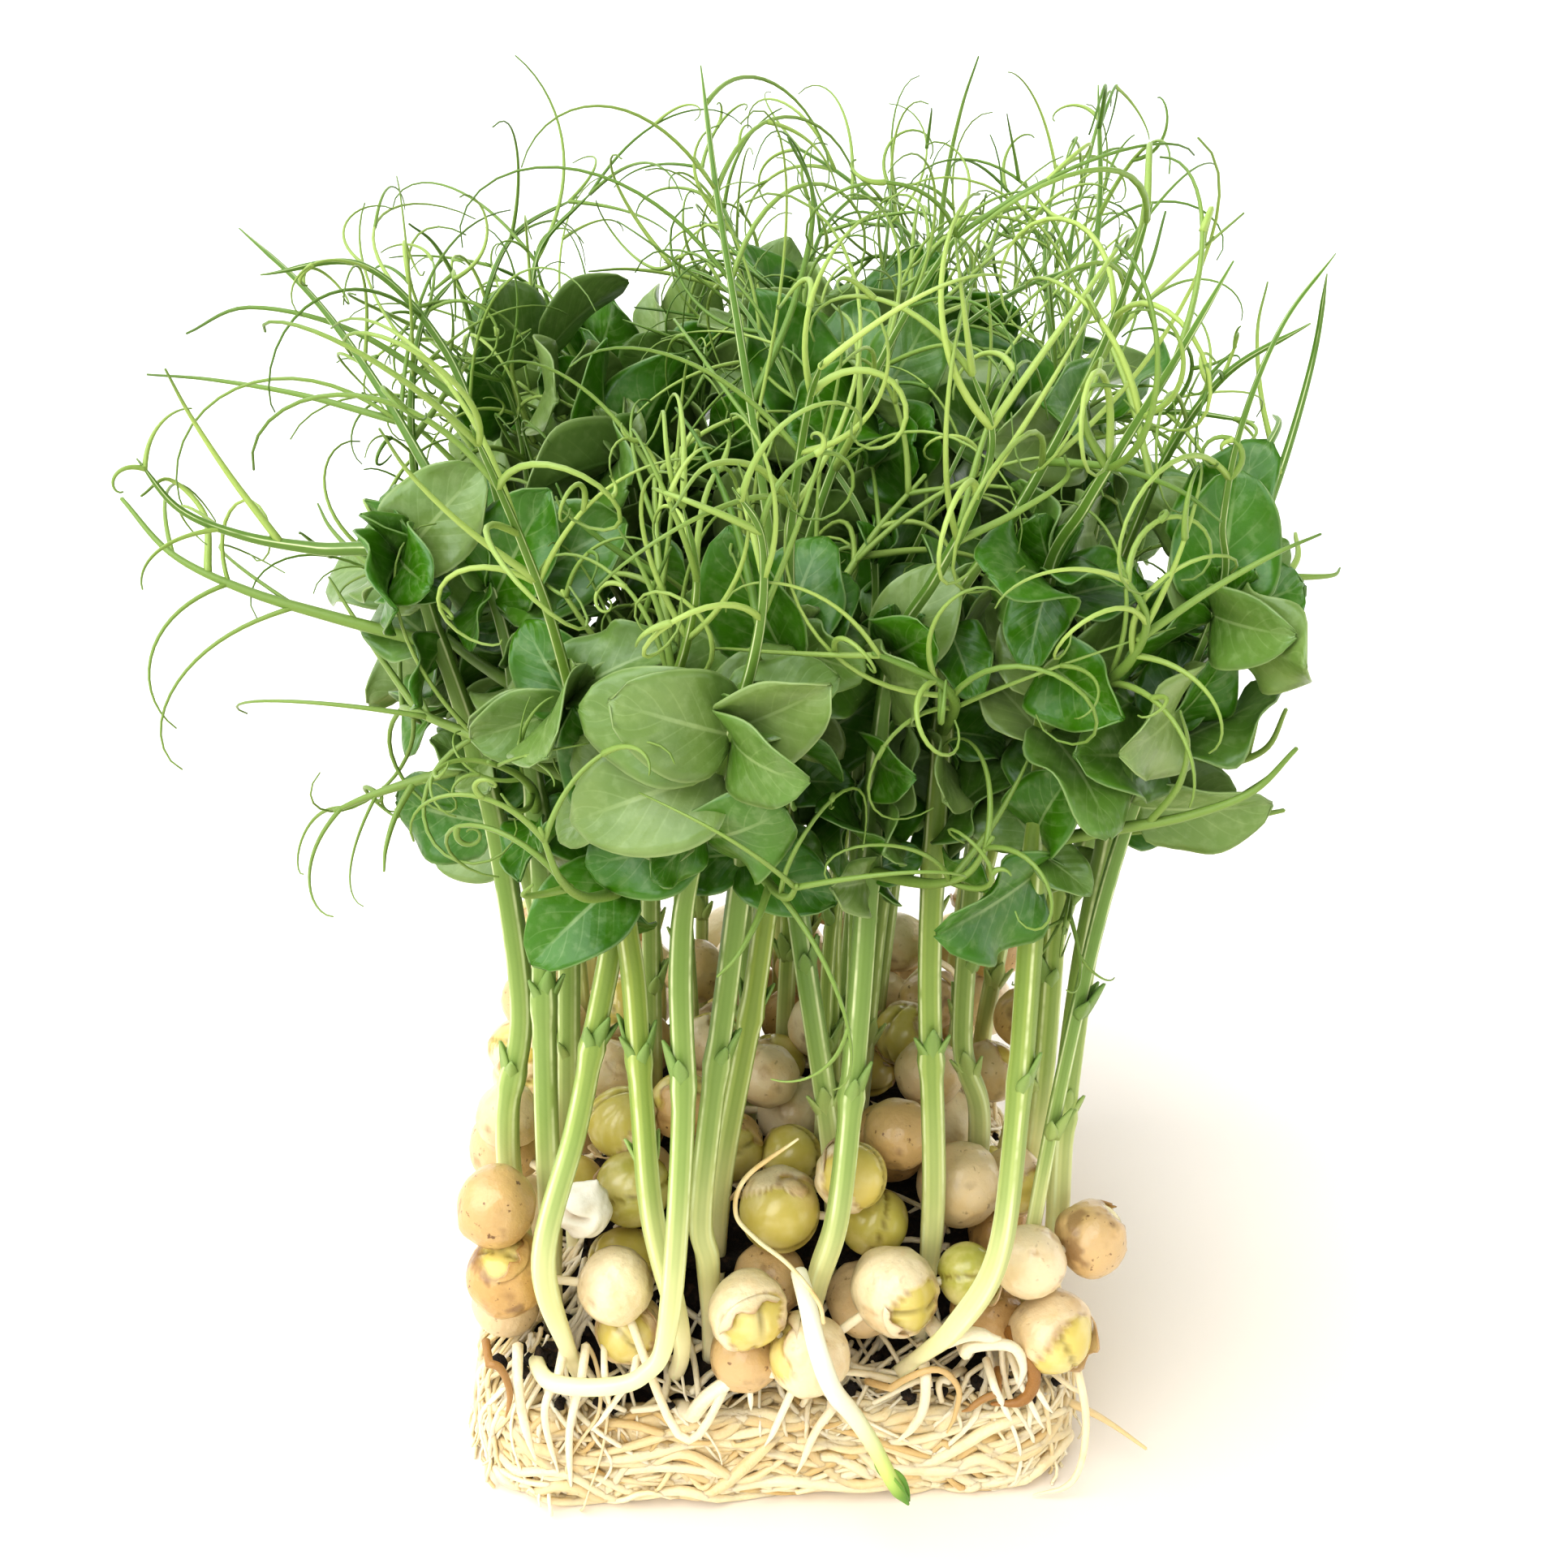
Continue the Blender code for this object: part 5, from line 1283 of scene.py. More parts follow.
def edge_place(share, inset, height):
    """Points at this share of the way round the mat's edge, this far inside it and this high."""
    steps = 24
    corner = MAT_CORNER
    reach = np.array((MAT_WIDTH / 2 - corner, MAT_DEPTH / 2 - corner))
    angle = math.pi / 2 * np.arange(steps + 1) / steps
    loops, outs = [], []
    for quarter, signs in enumerate(((1, 1), (-1, 1), (-1, -1), (1, -1))):
        turn = angle + quarter * math.pi / 2
        out = np.column_stack((np.cos(turn), np.sin(turn)))
        loops.append(reach * signs + corner * out)
        outs.append(out)
    loop, out = np.vstack(loops + [loops[0][:1]]), np.vstack(outs + [outs[0][:1]])
    run = np.concatenate(([0], np.cumsum(np.linalg.norm(np.diff(loop, axis=0), axis=1))))
    run /= run[-1]
    share = np.asarray(share) % 1
    x = np.interp(share, run, loop[:, 0]) - inset * np.interp(share, run, out[:, 0])
    y = np.interp(share, run, loop[:, 1]) - inset * np.interp(share, run, out[:, 1])
    return np.stack((x, y, np.broadcast_to(height, x.shape)), axis=-1)


def wall_inset(height):
    """How far inside its edge the mat's outer wall lies at these heights, and above its rim."""
    insets, heights = np.transpose(MAT_PROFILE[:5]) * MM
    return np.interp(height, heights, insets)


def ring_surface(profile, around, noise):
    """Rings of a solid of the mat's outline, (1, rings, around, 3): profile gives the inset and
    the height of each ring, and noise moves the points."""
    share = np.arange(around) / around
    rings = np.stack([edge_place(share, inset, height) for inset, height in profile])
    return (rings + noise(rings))[None]


def fine_profile(corners, step):
    """The insets and heights of a profile, no further apart than step."""
    line = np.array([(x, y, 0) for x, y in corners]) * MM
    return filled_line(line, step)[:, :2]


def add_mat(skin):
    """The mat's own body: a tray of matted roots with an uneven, knotted surface."""
    rng = draws(MAT_STREAM)
    profile = fine_profile(MAT_PROFILE + MAT_PROFILE[:1], 0.8 * MM)[:-1]

    def noise(rings):
        inside = np.minimum(rings[..., 2:3] / (2 * MM), 1)
        bumps = ripples(rings, rng, 2.2 * MM) * 0.12 * MM + ripples(rings, rng, 7 * MM) * 0.2 * MM
        out = rings * (1, 1, 0)
        out_length = np.linalg.norm(out, axis=-1, keepdims=True) + 1e-9
        return bumps[..., None] * out / out_length * inside

    rings = ring_surface(profile, MAT_SIDES, noise)
    length, sides = rings.shape[1:3]
    faces = grid_faces(length + 1, sides, closed=True)[:, ::-1] % (length * sides)
    skin.add(rings.reshape(-1, 3), faces, tint=0.35)


class Bundle:
    """Many roots drawn at once. Each value is a column with a number for every root, and t runs
    from 0 to 1 along them."""

    def __init__(self, rng, count, steps):
        self.rng, self.count = rng, count
        self.t = np.linspace(0, 1, steps)[None]

    def even(self, low, high):
        """Numbers drawn evenly between two limits."""
        return self.rng.uniform(low, high, (self.count, 1))

    def bell(self):
        """Numbers drawn from the bell curve, about 1 in size."""
        return self.rng.normal(size=(self.count, 1))

    def one_of(self, *values):
        """One of these values for every root."""
        return self.rng.choice(values, (self.count, 1))

    def sway(self, size, least=0.5, most=2.0):
        """Waves of this size along t. Every root has its own number of waves and its phase."""
        turns = self.even(least, most)
        return size * np.sin(2 * math.pi * (self.t * turns + self.even(0, 1)))


def add_felt(skin, roots):
    """Roots that run round the mat's faces and over its rim, half sunk in it and over each other.
    Near the floor they stand off further, so that the foot of the mat is loose and uneven."""
    t, even = roots.t, roots.even
    length = even(0.03, 0.13) * roots.one_of(-1, 1)
    share = even(0, 1) + length * t
    level = even(0, 1.12) ** 1.1
    slant = roots.bell() * (1.5 + 4.5 * level) * MM * t
    height = level * 12.5 * MM + slant + roots.sway(1.7 * MM, 0.6, 2.4)
    radii = even(0.32, 0.82) * MM * np.sin(math.pi * np.clip(t, 0.04, 0.96)) ** 0.4
    over = np.clip(height - RIM_TOP, 0, 3.5 * MM)
    height = np.clip(height, radii + 0.1 * MM, RIM_TOP) + 0.15 * over
    loose = 1 + 1.6 * smoothstep(6 * MM, 1 * MM, height)
    stand = even(-0.1, 0.7) * MM * loose + roots.sway(0.4 * MM)
    stand = np.where((t == 0) | (t == 1), -0.8 * MM, np.maximum(stand, -0.8 * MM))
    inset = wall_inset(height) - stand * (over == 0) + 1.1 * over
    tint = roots.rng.uniform(0, 1, roots.count) ** 1.2
    add_tubes(skin, edge_place(share, inset, height), radii, 6, 1, tint=tint)


def add_feeders(skin, roots):
    """Roots that come out from under the peas and go down over the dark edge of the medium and
    the mat's rim into the felt. Each follows the block's profile from one place to another,
    with a hump of its own height, and slants to either side."""
    t, even = roots.t, roots.even
    corners = np.array(FEEDER_PROFILE)
    run = np.concatenate(([0], np.cumsum(np.linalg.norm(np.diff(corners, axis=0), axis=1))))
    start, end = even(0, 14), even(17, run[-1])
    place = start + (end - start) * t
    inset, height = (np.interp(place, run, column) * MM for column in corners.T)
    hump = even(0, 2.6) * MM * np.sin(math.pi * t) ** 1.5 + 0.25 * MM
    share = even(0, 1) + roots.bell() * 0.05 * t**1.3
    share = share + roots.sway(0.008, 0.4, 1.3)
    points = edge_place(share, inset - 0.6 * hump, height + 0.6 * hump * (place < 16))
    radii = even(0.22, 0.5) * MM * (1 - 0.7 * t**2)
    tint = roots.rng.uniform(0, 0.5, roots.count) ** 1.5
    add_tubes(skin, points, radii, 6, 1, tint=tint)


def add_curtain(skin, roots):
    """Long thin roots that hang from the peas at three corners down over the mat, some as far as
    the floor, where they lie outwards."""
    t, even = roots.t, roots.even
    corner = roots.one_of(*CURTAIN_CORNERS)
    share = corner + roots.bell() * 0.022 + roots.sway(0.007, 0.3, 1.2)
    radii = even(0.2, 0.42) * MM * (1 - 0.4 * t)
    height = even(14, 23) * MM * (1 - t / even(0.7, 1.3))
    height = np.maximum(height, radii + 0.1 * MM)
    low = smoothstep(5 * MM, 0, height) * even(0, 4) * MM * t
    inset = wall_inset(height) - even(0.2, 1.4) * MM - low + 5 * MM * smoothstep(0.35, 0, t)
    tint = roots.rng.uniform(0, 0.7, roots.count)
    add_tubes(skin, edge_place(share, inset, height), radii, 6, 1, tint=tint)


def add_front_roots(skin):
    """The roots measured at the front. Each starts inside the block and comes forward."""
    t = np.linspace(0, 1, 26)
    forward = np.interp(t, (0, 0.12, 0.8, 1), (-35.5, -39.0, -39.6, -39.2)) * MM
    for thickness, tan, *points in FRONT_ROOTS:
        flat = smooth_curve(np.array([(x, 0, z) for x, z in points]) * MM, 26)
        line = np.column_stack((flat[:, 0], forward, flat[:, 2]))
        radii = thickness / 2 * MM * np.interp(t, (0, 0.7, 1), (1, 0.75, 0.2))
        add_tubes(skin, line[None], radii[None], 8, 1, tint=tan)


def add_top_roots(skin, roots):
    """White roots that creep over the top of the medium between the peas."""
    t, even = roots.t, roots.even
    start = roots.rng.uniform((-33, -36), (33, 36), (roots.count, 2)) * MM
    way = even(0, 2 * math.pi)
    length = even(7, 20) * MM
    bend = way + even(-1.2, 1.2) * t
    x = np.clip(start[:, :1] + length * t * np.cos(bend), -34 * MM, 34 * MM)
    y = np.clip(start[:, 1:] + length * t * np.sin(bend), -37 * MM, 37 * MM)
    hump = even(0.3, 3.5) * MM * np.sin(math.pi * t)
    z = ground(x, y) + 0.2 * MM + hump
    radii = even(0.35, 0.6) * MM * (1 - 0.3 * t)
    tint = roots.rng.uniform(0, 0.5, roots.count)
    add_tubes(skin, np.stack((x, y, z), axis=2), radii, 5, 1, tint=tint)


def add_medium(skin):
    """The medium: dark and crumbly, with a low edge, a step and a raised middle."""
    rng = draws(MEDIUM_STREAM)
    profile = fine_profile(((34, 3.35), *MEDIUM_PROFILE, (34, 24.6)), 0.9 * MM)

    def noise(rings):
        bumps = ripples(rings, rng, 1.8 * MM) * 0.22 * MM + ripples(rings, rng, 5 * MM) * 0.3 * MM
        high = smoothstep(4 * MM, 6 * MM, rings[..., 2])
        return np.stack((bumps * 0.5, bumps * 0.5, bumps), axis=-1) * high[..., None]

    add_rings(skin, ring_surface(profile, MEDIUM_SIDES, noise), tint=0.5)


def add_crumbs(skin, count, rng):
    """Crumbs of the medium on its top and along its dark edge, and a few that cling to the foot
    of the low stem at the left: uneven lumps."""
    spots = rng.uniform((-34, -37), (34, 37), (count, 2)) * MM
    places = [np.array((*spot, ground(*spot))) for spot in spots]
    stem = np.array(FRONT_SHOOTS[LOW_STEM][0][1]) * MM
    spread = np.array((1.3, 0.5, 1.0)) * MM
    places += [stem + rng.normal(size=3) * spread for _ in range(STEM_CRUMBS)]
    for place in places:
        size = rng.uniform(0.3, 0.9) * MM

        def radius_at(ways, size=size):
            reach = size * (1 + 0.3 * ripples(ways, rng, 1.4))
            return reach, {"tint": np.full(ways.shape[:2], 0.5)}

        add_ball(skin, place + np.array((0, 0, 0.25 * size)), radius_at, rows=5, columns=7)


# Small pieces


def add_sprout(skin):
    """The pale sprout that hangs over the front, with a folded green leaf at its tip."""
    line = smooth_curve(np.array(HANGING_SPROUT) * MM, 60)
    share = np.linspace(0, 1, 60)
    radii = np.interp(share, (0, 0.35, 0.75, 0.92, 1), (0.95, 1.1, 0.85, 0.8, 0.15)) * MM
    add_tubes(skin, line[None], radii[None], 14, corners=0.05, along=share[None])
    rng = draws(SPROUT_STREAM)
    ahead = unit(line[-1] - line[-6])
    along, out = grid_values(np.linspace(0.03, 0.98, 9), np.linspace(-0.55, 0.55, 5))
    for side, place in ((-1, 44), (1, 48)):
        face = across(np.array((side * 1.0, -0.6, 0.2)), ahead)
        blade = Blade(
            Blade.PLAIN, line[place], unit(ahead + 0.22 * face), face, length=4.6 * MM,
            fold=0.9, curl=0.4, wave=0.05, phase=rng.uniform(0, 1),
        )
        grid = blade.surface(along, out)
        add_plate(skin, grid, SMALL_LEAF_HALF, along=0.9 + 0.1 * along, ridge=0.0)


def add_thread(skin):
    """The dried root thread that lies over the peas."""
    line = smooth_curve(np.array(DRY_THREAD) * MM, 70)
    share = np.linspace(0, 1, 70)
    radii = np.interp(share, (0, 0.1, 0.7, 1), (0.14, 0.27, 0.24, 0.22)) * MM
    add_tubes(skin, line[None], radii[None], 9, corners=0.12, along=share[None])


def add_empty_coat(skin):
    """The empty seed coat: an egg drawn out to a point at its top, with creases that run down
    from it, and a level mouth at its left that reaches to its middle."""
    rng = draws(EMPTY_COAT_STREAM)
    coat = np.array(EMPTY_COAT) * MM
    tip = unit(np.array((0.32, -0.05, 0.9)))
    left = unit(np.array((-0.75, -0.65, 0.25)))
    mouth_up = unit(np.array((0.1, -0.1, 1.0)))
    side = across(left, tip)

    def radius_at(ways):
        from_tip = np.arccos(np.clip(ways @ tip, -1, 1))
        from_left = np.arccos(np.clip(ways @ left, -1, 1))
        turn = np.arctan2(ways @ np.cross(tip, side), ways @ side)
        peak = 1 / np.cos(np.maximum(0.74 - from_tip, 0)) - 1 + 0.14 * np.exp(-from_tip / 0.12)
        peak = peak + 0.1 * np.exp(-((from_left / 0.45) ** 2))
        creases = 0.03 * np.cos(7 * turn + 3 * from_tip) * np.sin(from_tip)
        # The mouth is sunk, and its mask also carries the painted shade in its fold.
        mouth = np.exp(-(((ways @ mouth_up - 0.35) / 0.09) ** 2))
        mouth = mouth * smoothstep(1.35, 0.5, from_left)
        rough = 0.02 * ripples(ways, rng, 0.8)
        return 0.5 * coat[3] * (0.9 + peak + creases - 0.5 * mouth + rough), {"dent": mouth}

    add_ball(skin, coat[:3], radius_at, rows=44, columns=60)


# Finishes


class Value:
    """A number in a finish's nodes. Arithmetic with it adds Math nodes."""

    def __init__(self, finish, socket):
        self.finish, self.socket = finish, socket

    def math(self, operation, *values):
        node = self.finish.node("ShaderNodeMath", {"operation": operation}, *values)
        return Value(self.finish, node.outputs[0])

    def __add__(self, other):
        return self.math("ADD", self, other)

    def __sub__(self, other):
        return self.math("SUBTRACT", self, other)

    def __rsub__(self, other):
        return self.math("SUBTRACT", other, self)

    def __mul__(self, other):
        return self.math("MULTIPLY", self, other)

    def __abs__(self):
        return self.math("ABSOLUTE", self)

    __radd__ = __add__
    __rmul__ = __mul__

    def either(self, other):
        """The larger of the two."""
        return self.math("MAXIMUM", self, other)

    def sawtooth(self):
        """The part after the point, made a wave that is 1 at whole numbers and 0 between."""
        return self.math("PINGPONG", self + 0.5, 0.5) * -2 + 1

    def rise(self, low, high):
        """A smooth rise from 0 at low to 1 at high, or a fall where low is the larger."""
        settings = {"interpolation_type": "SMOOTHSTEP"}
        if low < high:
            node = self.finish.node("ShaderNodeMapRange", settings, self, low, high, 0.0, 1.0)
        else:
            node = self.finish.node("ShaderNodeMapRange", settings, self, high, low, 1.0, 0.0)
        return Value(self.finish, node.outputs[0])


# How far light of each colour goes in soft white tissue, as shares of the finish's own scale
SOFT = (1.0, 0.85, 0.6)


def colour(code):
    """A colour in linear light from its six-digit code."""
    parts = [int(code[i : i + 2], 16) / 255 for i in (0, 2, 4)]
    return (*((p / 12.92) if p <= 0.04045 else ((p + 0.055) / 1.055) ** 2.4 for p in parts), 1)


class Finish:
    """A material in the making. The settings are those of its shader that are the same all
    over the surface."""

    def __init__(self, name, **settings):
        self.material = bpy.data.materials.new(name)
        self.material.use_nodes = True
        self.tree = self.material.node_tree
        self.shader = self.tree.nodes["Principled BSDF"]
        for key, value in settings.items():
            key = key.replace("_", " ").title().replace("Ior", "IOR")
            self.shader.inputs[key].default_value = value
        self.place = self.node("ShaderNodeTexCoord", {}).outputs["Object"]

    def node(self, kind, settings, *values, **named):
        """A node of this kind: its settings first, then the values or links of its inputs."""
        made = self.tree.nodes.new(kind)
        for key, value in settings.items():
            setattr(made, key, value)
        for key, value in (*enumerate(values), *named.items()):
            self.fill(made.inputs[key], value)
        return made

    def fill(self, socket, value):
        """Sets an input to a number, or links it to another node's output."""
        if isinstance(value, Value):
            value = value.socket
        if isinstance(value, bpy.types.NodeSocket):
            self.tree.links.new(value, socket)
        else:
            socket.default_value = value

    def read(self, name):
        """A value that the points of the piece carry."""
        node = self.node("ShaderNodeAttribute", {"attribute_name": name})
        return Value(self, node.outputs["Fac"])

    def along(self, axis):
        """How far along X, Y or Z the point lies."""
        node = self.node("ShaderNodeSeparateXYZ", {}, self.place)
        return Value(self, node.outputs[axis])

    def noise(self, size, detail=2.0):
        """Noise from 0 to 1 with blotches of this size in metres."""
        settings = {"Scale": 1 / size, "Detail": detail, "Vector": self.place}
        return Value(self, self.node("ShaderNodeTexNoise", {}, **settings).outputs[0])

    def mix(self, share, low, high):
        """A colour between two others, by share. Each is a link or a six-digit code."""
        node = self.node("ShaderNodeMix", {"data_type": "RGBA"}, share)
        for index, tone in ((6, low), (7, high)):
            self.fill(node.inputs[index], colour(tone) if isinstance(tone, str) else tone)
        return node.outputs[2]

    def coats(self, base, *layers):
        """The base colour under layers of others. Each layer is its share and its colour."""
        for share, tone in layers:
            base = self.mix(share, base, tone)
        return base

    def feed(self, base, roughness=None, bump=None, depth=0.1 * MM):
        """Links the colour, the roughness and a bump of this depth, and gives the material."""
        self.fill(self.shader.inputs["Base Color"], base)
        if roughness is not None:
            self.fill(self.shader.inputs["Roughness"], roughness)
        if bump is not None:
            node = self.node("ShaderNodeBump", {}, Strength=1.0, Distance=depth, Height=bump)
            self.fill(self.shader.inputs["Normal"], node.outputs["Normal"])
        return self.material


def leaf_finish():
    """Leaf green, from fresh to bloomy, with faint pale marbling, veins and rim."""
    leaf = Finish(
        "leaf", Roughness=0.32, Specular_IOR_Level=0.5, Specular_Tint=colour("ecf5ff")
    )
    along, out, tint = leaf.read("along"), leaf.read("out"), leaf.read("tint")
    away = abs(out)
    fresh = leaf.mix(leaf.noise(9 * MM), "2a5806", "4b800c")
    bloomy = leaf.mix(leaf.noise(6 * MM), "547428", "93a868")
    marble = leaf.noise(1.1 * MM, 4.0).rise(0.45, 0.7) * away.rise(1.0, 0.75)
    side = ((along - away * 0.42) * 6.0).sawtooth()
    vein = side.rise(0.84, 0.99) * away.rise(0.95, 0.3) * 0.1
    middle = away.rise(0.06, 0.02) * along.rise(1.0, 0.4) * 0.3
    rim = away.rise(0.94, 0.99) * 0.22
    base = leaf.coats(
        leaf.mix(tint.rise(0.3, 0.95), fresh, bloomy),
        (marble * 0.12, "b9cb98"),
        (vein.either(middle).either(rim), "c3d69c"),
    )
    bump = side * -0.35 + leaf.noise(0.6 * MM) * 0.4
    return leaf.feed(base, bump=bump, depth=0.08 * MM)


def stalk_finish(name, ridged):
    """Stem green by height: nearly white at the foot and green above, yellower or bluer by the
    stem's own number. ridged is the strength of the painted shade in the grooves and of the pale
    ridges, which are partly the ribs' own colour and partly a painted highlight."""
    stalk = Finish(name, Roughness=0.42, Specular_IOR_Level=0.4)
    height = stalk.along("Z") + stalk.noise(14 * MM) * (14 * MM) - 7 * MM
    own, ridge = stalk.read("own"), stalk.read("ridge")
    green = height.rise(30 * MM, 70 * MM) * ridged
    high = stalk.mix(stalk.read("tint"), "5c8032", "aac268")
    high = stalk.mix(stalk.read("tip").rise(0.35, 0.75) * 0.7, high, "47662a")
    # Painted shade: the grooves between the ribs are darker.
    groove = ridge.rise(0.1, -0.6) * height.rise(20 * MM, 50 * MM) * ridged * 0.6
    # The pale ridges: partly the ribs' own colour, partly a painted highlight.
    edge = ridge.rise(0.35, 0.95) * stalk.noise(3 * MM).rise(0.2, 0.6) * ridged
    base = stalk.coats(
        stalk.mix(height.rise(15 * MM, 32 * MM), "f1eac2", "dfe0a2"),
        (height.rise(28 * MM, 52 * MM), "a3b76a"),
        (height.rise(46 * MM, 78 * MM), "789346"),
        (own.rise(0.55, 1.0) * green * 0.5, "b3bf4a"),
        (own.rise(0.45, 0.0) * green * 0.5, "5f8f50"),
        (height.rise(85 * MM, 125 * MM), high),
        (groove, "5d7f2e"),
        (edge, "e6efbd"),
    )
    return stalk.feed(base, bump=stalk.noise(0.6 * MM), depth=0.05 * MM)


def pea_finish():
    """Cream to tan coats, stained and torn brown at their edges, over yellow halves, with painted
    shade in the groove between the halves and along the coat's sunk seam.
    """
    pea = Finish(
        "pea", Coat_Weight=0.3, Coat_Roughness=0.12, Subsurface_Weight=0.25,
        Subsurface_Radius=SOFT, Subsurface_Scale=1.0 * MM,
    )
    coat, tan = pea.read("coat"), pea.read("tan")
    blotch = pea.noise(3.5 * MM, 4.0)
    specks = pea.noise(0.9 * MM, 3.0).rise(0.64, 0.72) * (tan * 0.9 + 0.1)
    stain = pea.noise(5 * MM, 3.0).rise(0.6, 0.7) * tan
    cover = pea.coats(
        pea.mix(tan, "ecdcb8", "c49e62"),
        (blotch.rise(0.45, 0.7) * 0.45, "d9b67c"),
        (specks.either(stain * 0.7), "6f4a28"),
        # Painted shade along the coat's sunk seam.
        (pea.read("seam") * blotch.rise(0.35, 0.6) * 0.5, "a9804a"),
    )
    bare = pea.coats(
        pea.mix(pea.read("green"), "d6c36a", "9fa24a"),
        (blotch.rise(0.4, 0.7) * 0.5, "ecdfa6"),
        # Painted shade in the groove between the halves.
        (pea.read("groove") * 0.7, "7d6a26"),
    )
    base = pea.coats(
        bare, (coat, cover), (pea.read("torn") * 0.6, "8a5c2c"), (pea.read("hilum") * 0.5, "7d5830")
    )
    bump = pea.noise(0.8 * MM, 3.0) * coat
    return pea.feed(base, roughness=coat * 0.12 + 0.25, bump=bump, depth=0.16 * MM)


def root_finish(name, pale, tan):
    """Roots from one colour to the other, with darker stretches, and brown past the other."""
    root = Finish(
        name, Roughness=0.45, Subsurface_Weight=0.4, Subsurface_Radius=SOFT,
        Subsurface_Scale=1.0 * MM,
    )
    tint = root.read("tint")
    base = root.coats(
        root.mix(tint.rise(0.0, 1.0), pale, tan),
        (root.noise(4 * MM, 3.0).rise(0.55, 0.78) * 0.3, "c8a56a"),
        (tint.rise(0.95, 1.7), "96682f"),
    )
    return root.feed(base, bump=root.noise(0.4 * MM, 3.0), depth=0.12 * MM)


def medium_finish():
    """Wet, nearly black medium with brown crumbs."""
    medium = Finish("medium", Roughness=0.85)
    base = medium.mix(medium.noise(0.9 * MM, 4.0).rise(0.5, 0.75), "150d08", "3f2c1c")
    return medium.feed(base, bump=medium.noise(0.6 * MM, 5.0), depth=0.5 * MM)


def sprout_finish():
    """White at the base, then yellow-green, and green at the tip."""
    sprout = Finish("sprout", Roughness=0.4)
    along = sprout.read("along")
    base = sprout.mix(along.rise(0.45, 0.85), "f5f1d8", "c3d472")
    base = sprout.mix(along.rise(0.8, 0.97), base, "5f8f2c")
    return sprout.feed(base, bump=sprout.noise(0.8 * MM), depth=0.06 * MM)


def thread_finish():
    """A dried root: straw to tan."""
    thread = Finish("thread", Roughness=0.6)
    base = thread.mix(thread.noise(5 * MM, 2.0).rise(0.4, 0.65), "f0e3b6", "dcbd80")
    return thread.feed(base, bump=thread.noise(0.5 * MM), depth=0.1 * MM)


def empty_coat_finish():
    """A papery white coat, with painted shade in the fold of its mouth."""
    coat = Finish("empty_coat", Roughness=0.45)
    base = coat.mix(coat.noise(2.5 * MM, 3.0).rise(0.45, 0.7) * 0.5, "f3eee0", "d8cbb0")
    # Painted shade in the fold of the mouth.
    base = coat.mix(coat.read("dent") * 0.5, base, "b08f62")
    return coat.feed(base, bump=coat.noise(0.8 * MM, 3.0), depth=0.15 * MM)


# Stage


def add_floor():
    """A plain pale floor that sweeps up into a low backdrop all round: a level run, a quarter
    of a circle and an upright run, turned about the block's upright axis. Its colour is painted
    light: cream near the block and at its front, white towards the back and far off, as if
    brightly lit there."""
    floor = Finish("floor", Roughness=0.7)
    # Painted light: the floor turns white towards the back and far from the block.
    away = floor.node("ShaderNodeVectorMath", {"operation": "LENGTH"}, floor.place)
    far = Value(floor, away.outputs["Value"]).rise(0.4, 0.9)
    base = floor.mix(floor.along("Y").rise(-0.25, 0.35).either(far), "f4e9d8", "ffffff")
    turn = np.linspace(0, math.pi / 2, 9)
    reach = np.concatenate(([0.01, 1, 2.5, 4.2], 4.4 + 0.6 * np.sin(turn)))
    up = np.concatenate(([0, 0, 0, 0], 0.6 - 0.6 * np.cos(turn))) * 2.6
    angle = np.linspace(0, 2 * math.pi, 96, endpoint=False)[:, None]
    grid = np.broadcast_arrays(reach * np.cos(angle), reach * np.sin(angle), up)
    points = np.stack(grid, axis=2).reshape(-1, 3)
    faces = grid_faces(len(angle) + 1, len(reach))[:, ::-1] % len(points)
    middle = range(0, len(points), len(reach))
    mesh = bpy.data.meshes.new("floor")
    mesh.from_pydata(points, [], [*faces.tolist(), middle])
    thing = object_of("floor", mesh, floor.feed(base))


def add_lights():
    """A white room, with a large soft light from the upper left and one from behind."""
    world = bpy.data.worlds.new("room")
    world.use_nodes = True
    room = world.node_tree.nodes["Background"]
    room.inputs["Color"].default_value = (1, 0.985, 0.96, 1)
    room.inputs["Strength"].default_value = 0.42
    bpy.context.scene.world = world
    for name, place, spread, power in LIGHTS:
        light = bpy.data.lights.new(name, "SUN")
        light.angle, light.energy = math.radians(spread), power
        lamp = object_of(name, light)
        lamp.rotation_euler = (-Vector(place)).to_track_quat("-Z", "Y").to_euler()


def add_camera():
    """The camera of the photograph: a little left of the front, looking down at the block."""
    pitch, yaw, roll = (math.radians(angle) for angle in CAMERA_TURN)
    ahead = Vector(
        (math.sin(yaw) * math.cos(pitch), math.cos(yaw) * math.cos(pitch), -math.sin(pitch))
    )
    data = bpy.data.cameras.new("camera")
    data.sensor_width, data.lens = SENSOR, SENSOR * FOCAL_PIXELS / PHOTO_PIXELS
    data.clip_start, data.clip_end = 0.01, 20
    camera = object_of("camera", data)
    turn = ahead.to_track_quat("-Z", "Y").to_matrix() @ Matrix.Rotation(roll, 3, "Z")
    camera.matrix_world = Matrix.Translation(Vector(CAMERA_PLACE)) @ turn.to_4x4()
    bpy.context.scene.camera = camera


# More shoots, leaves and peas than the solids have


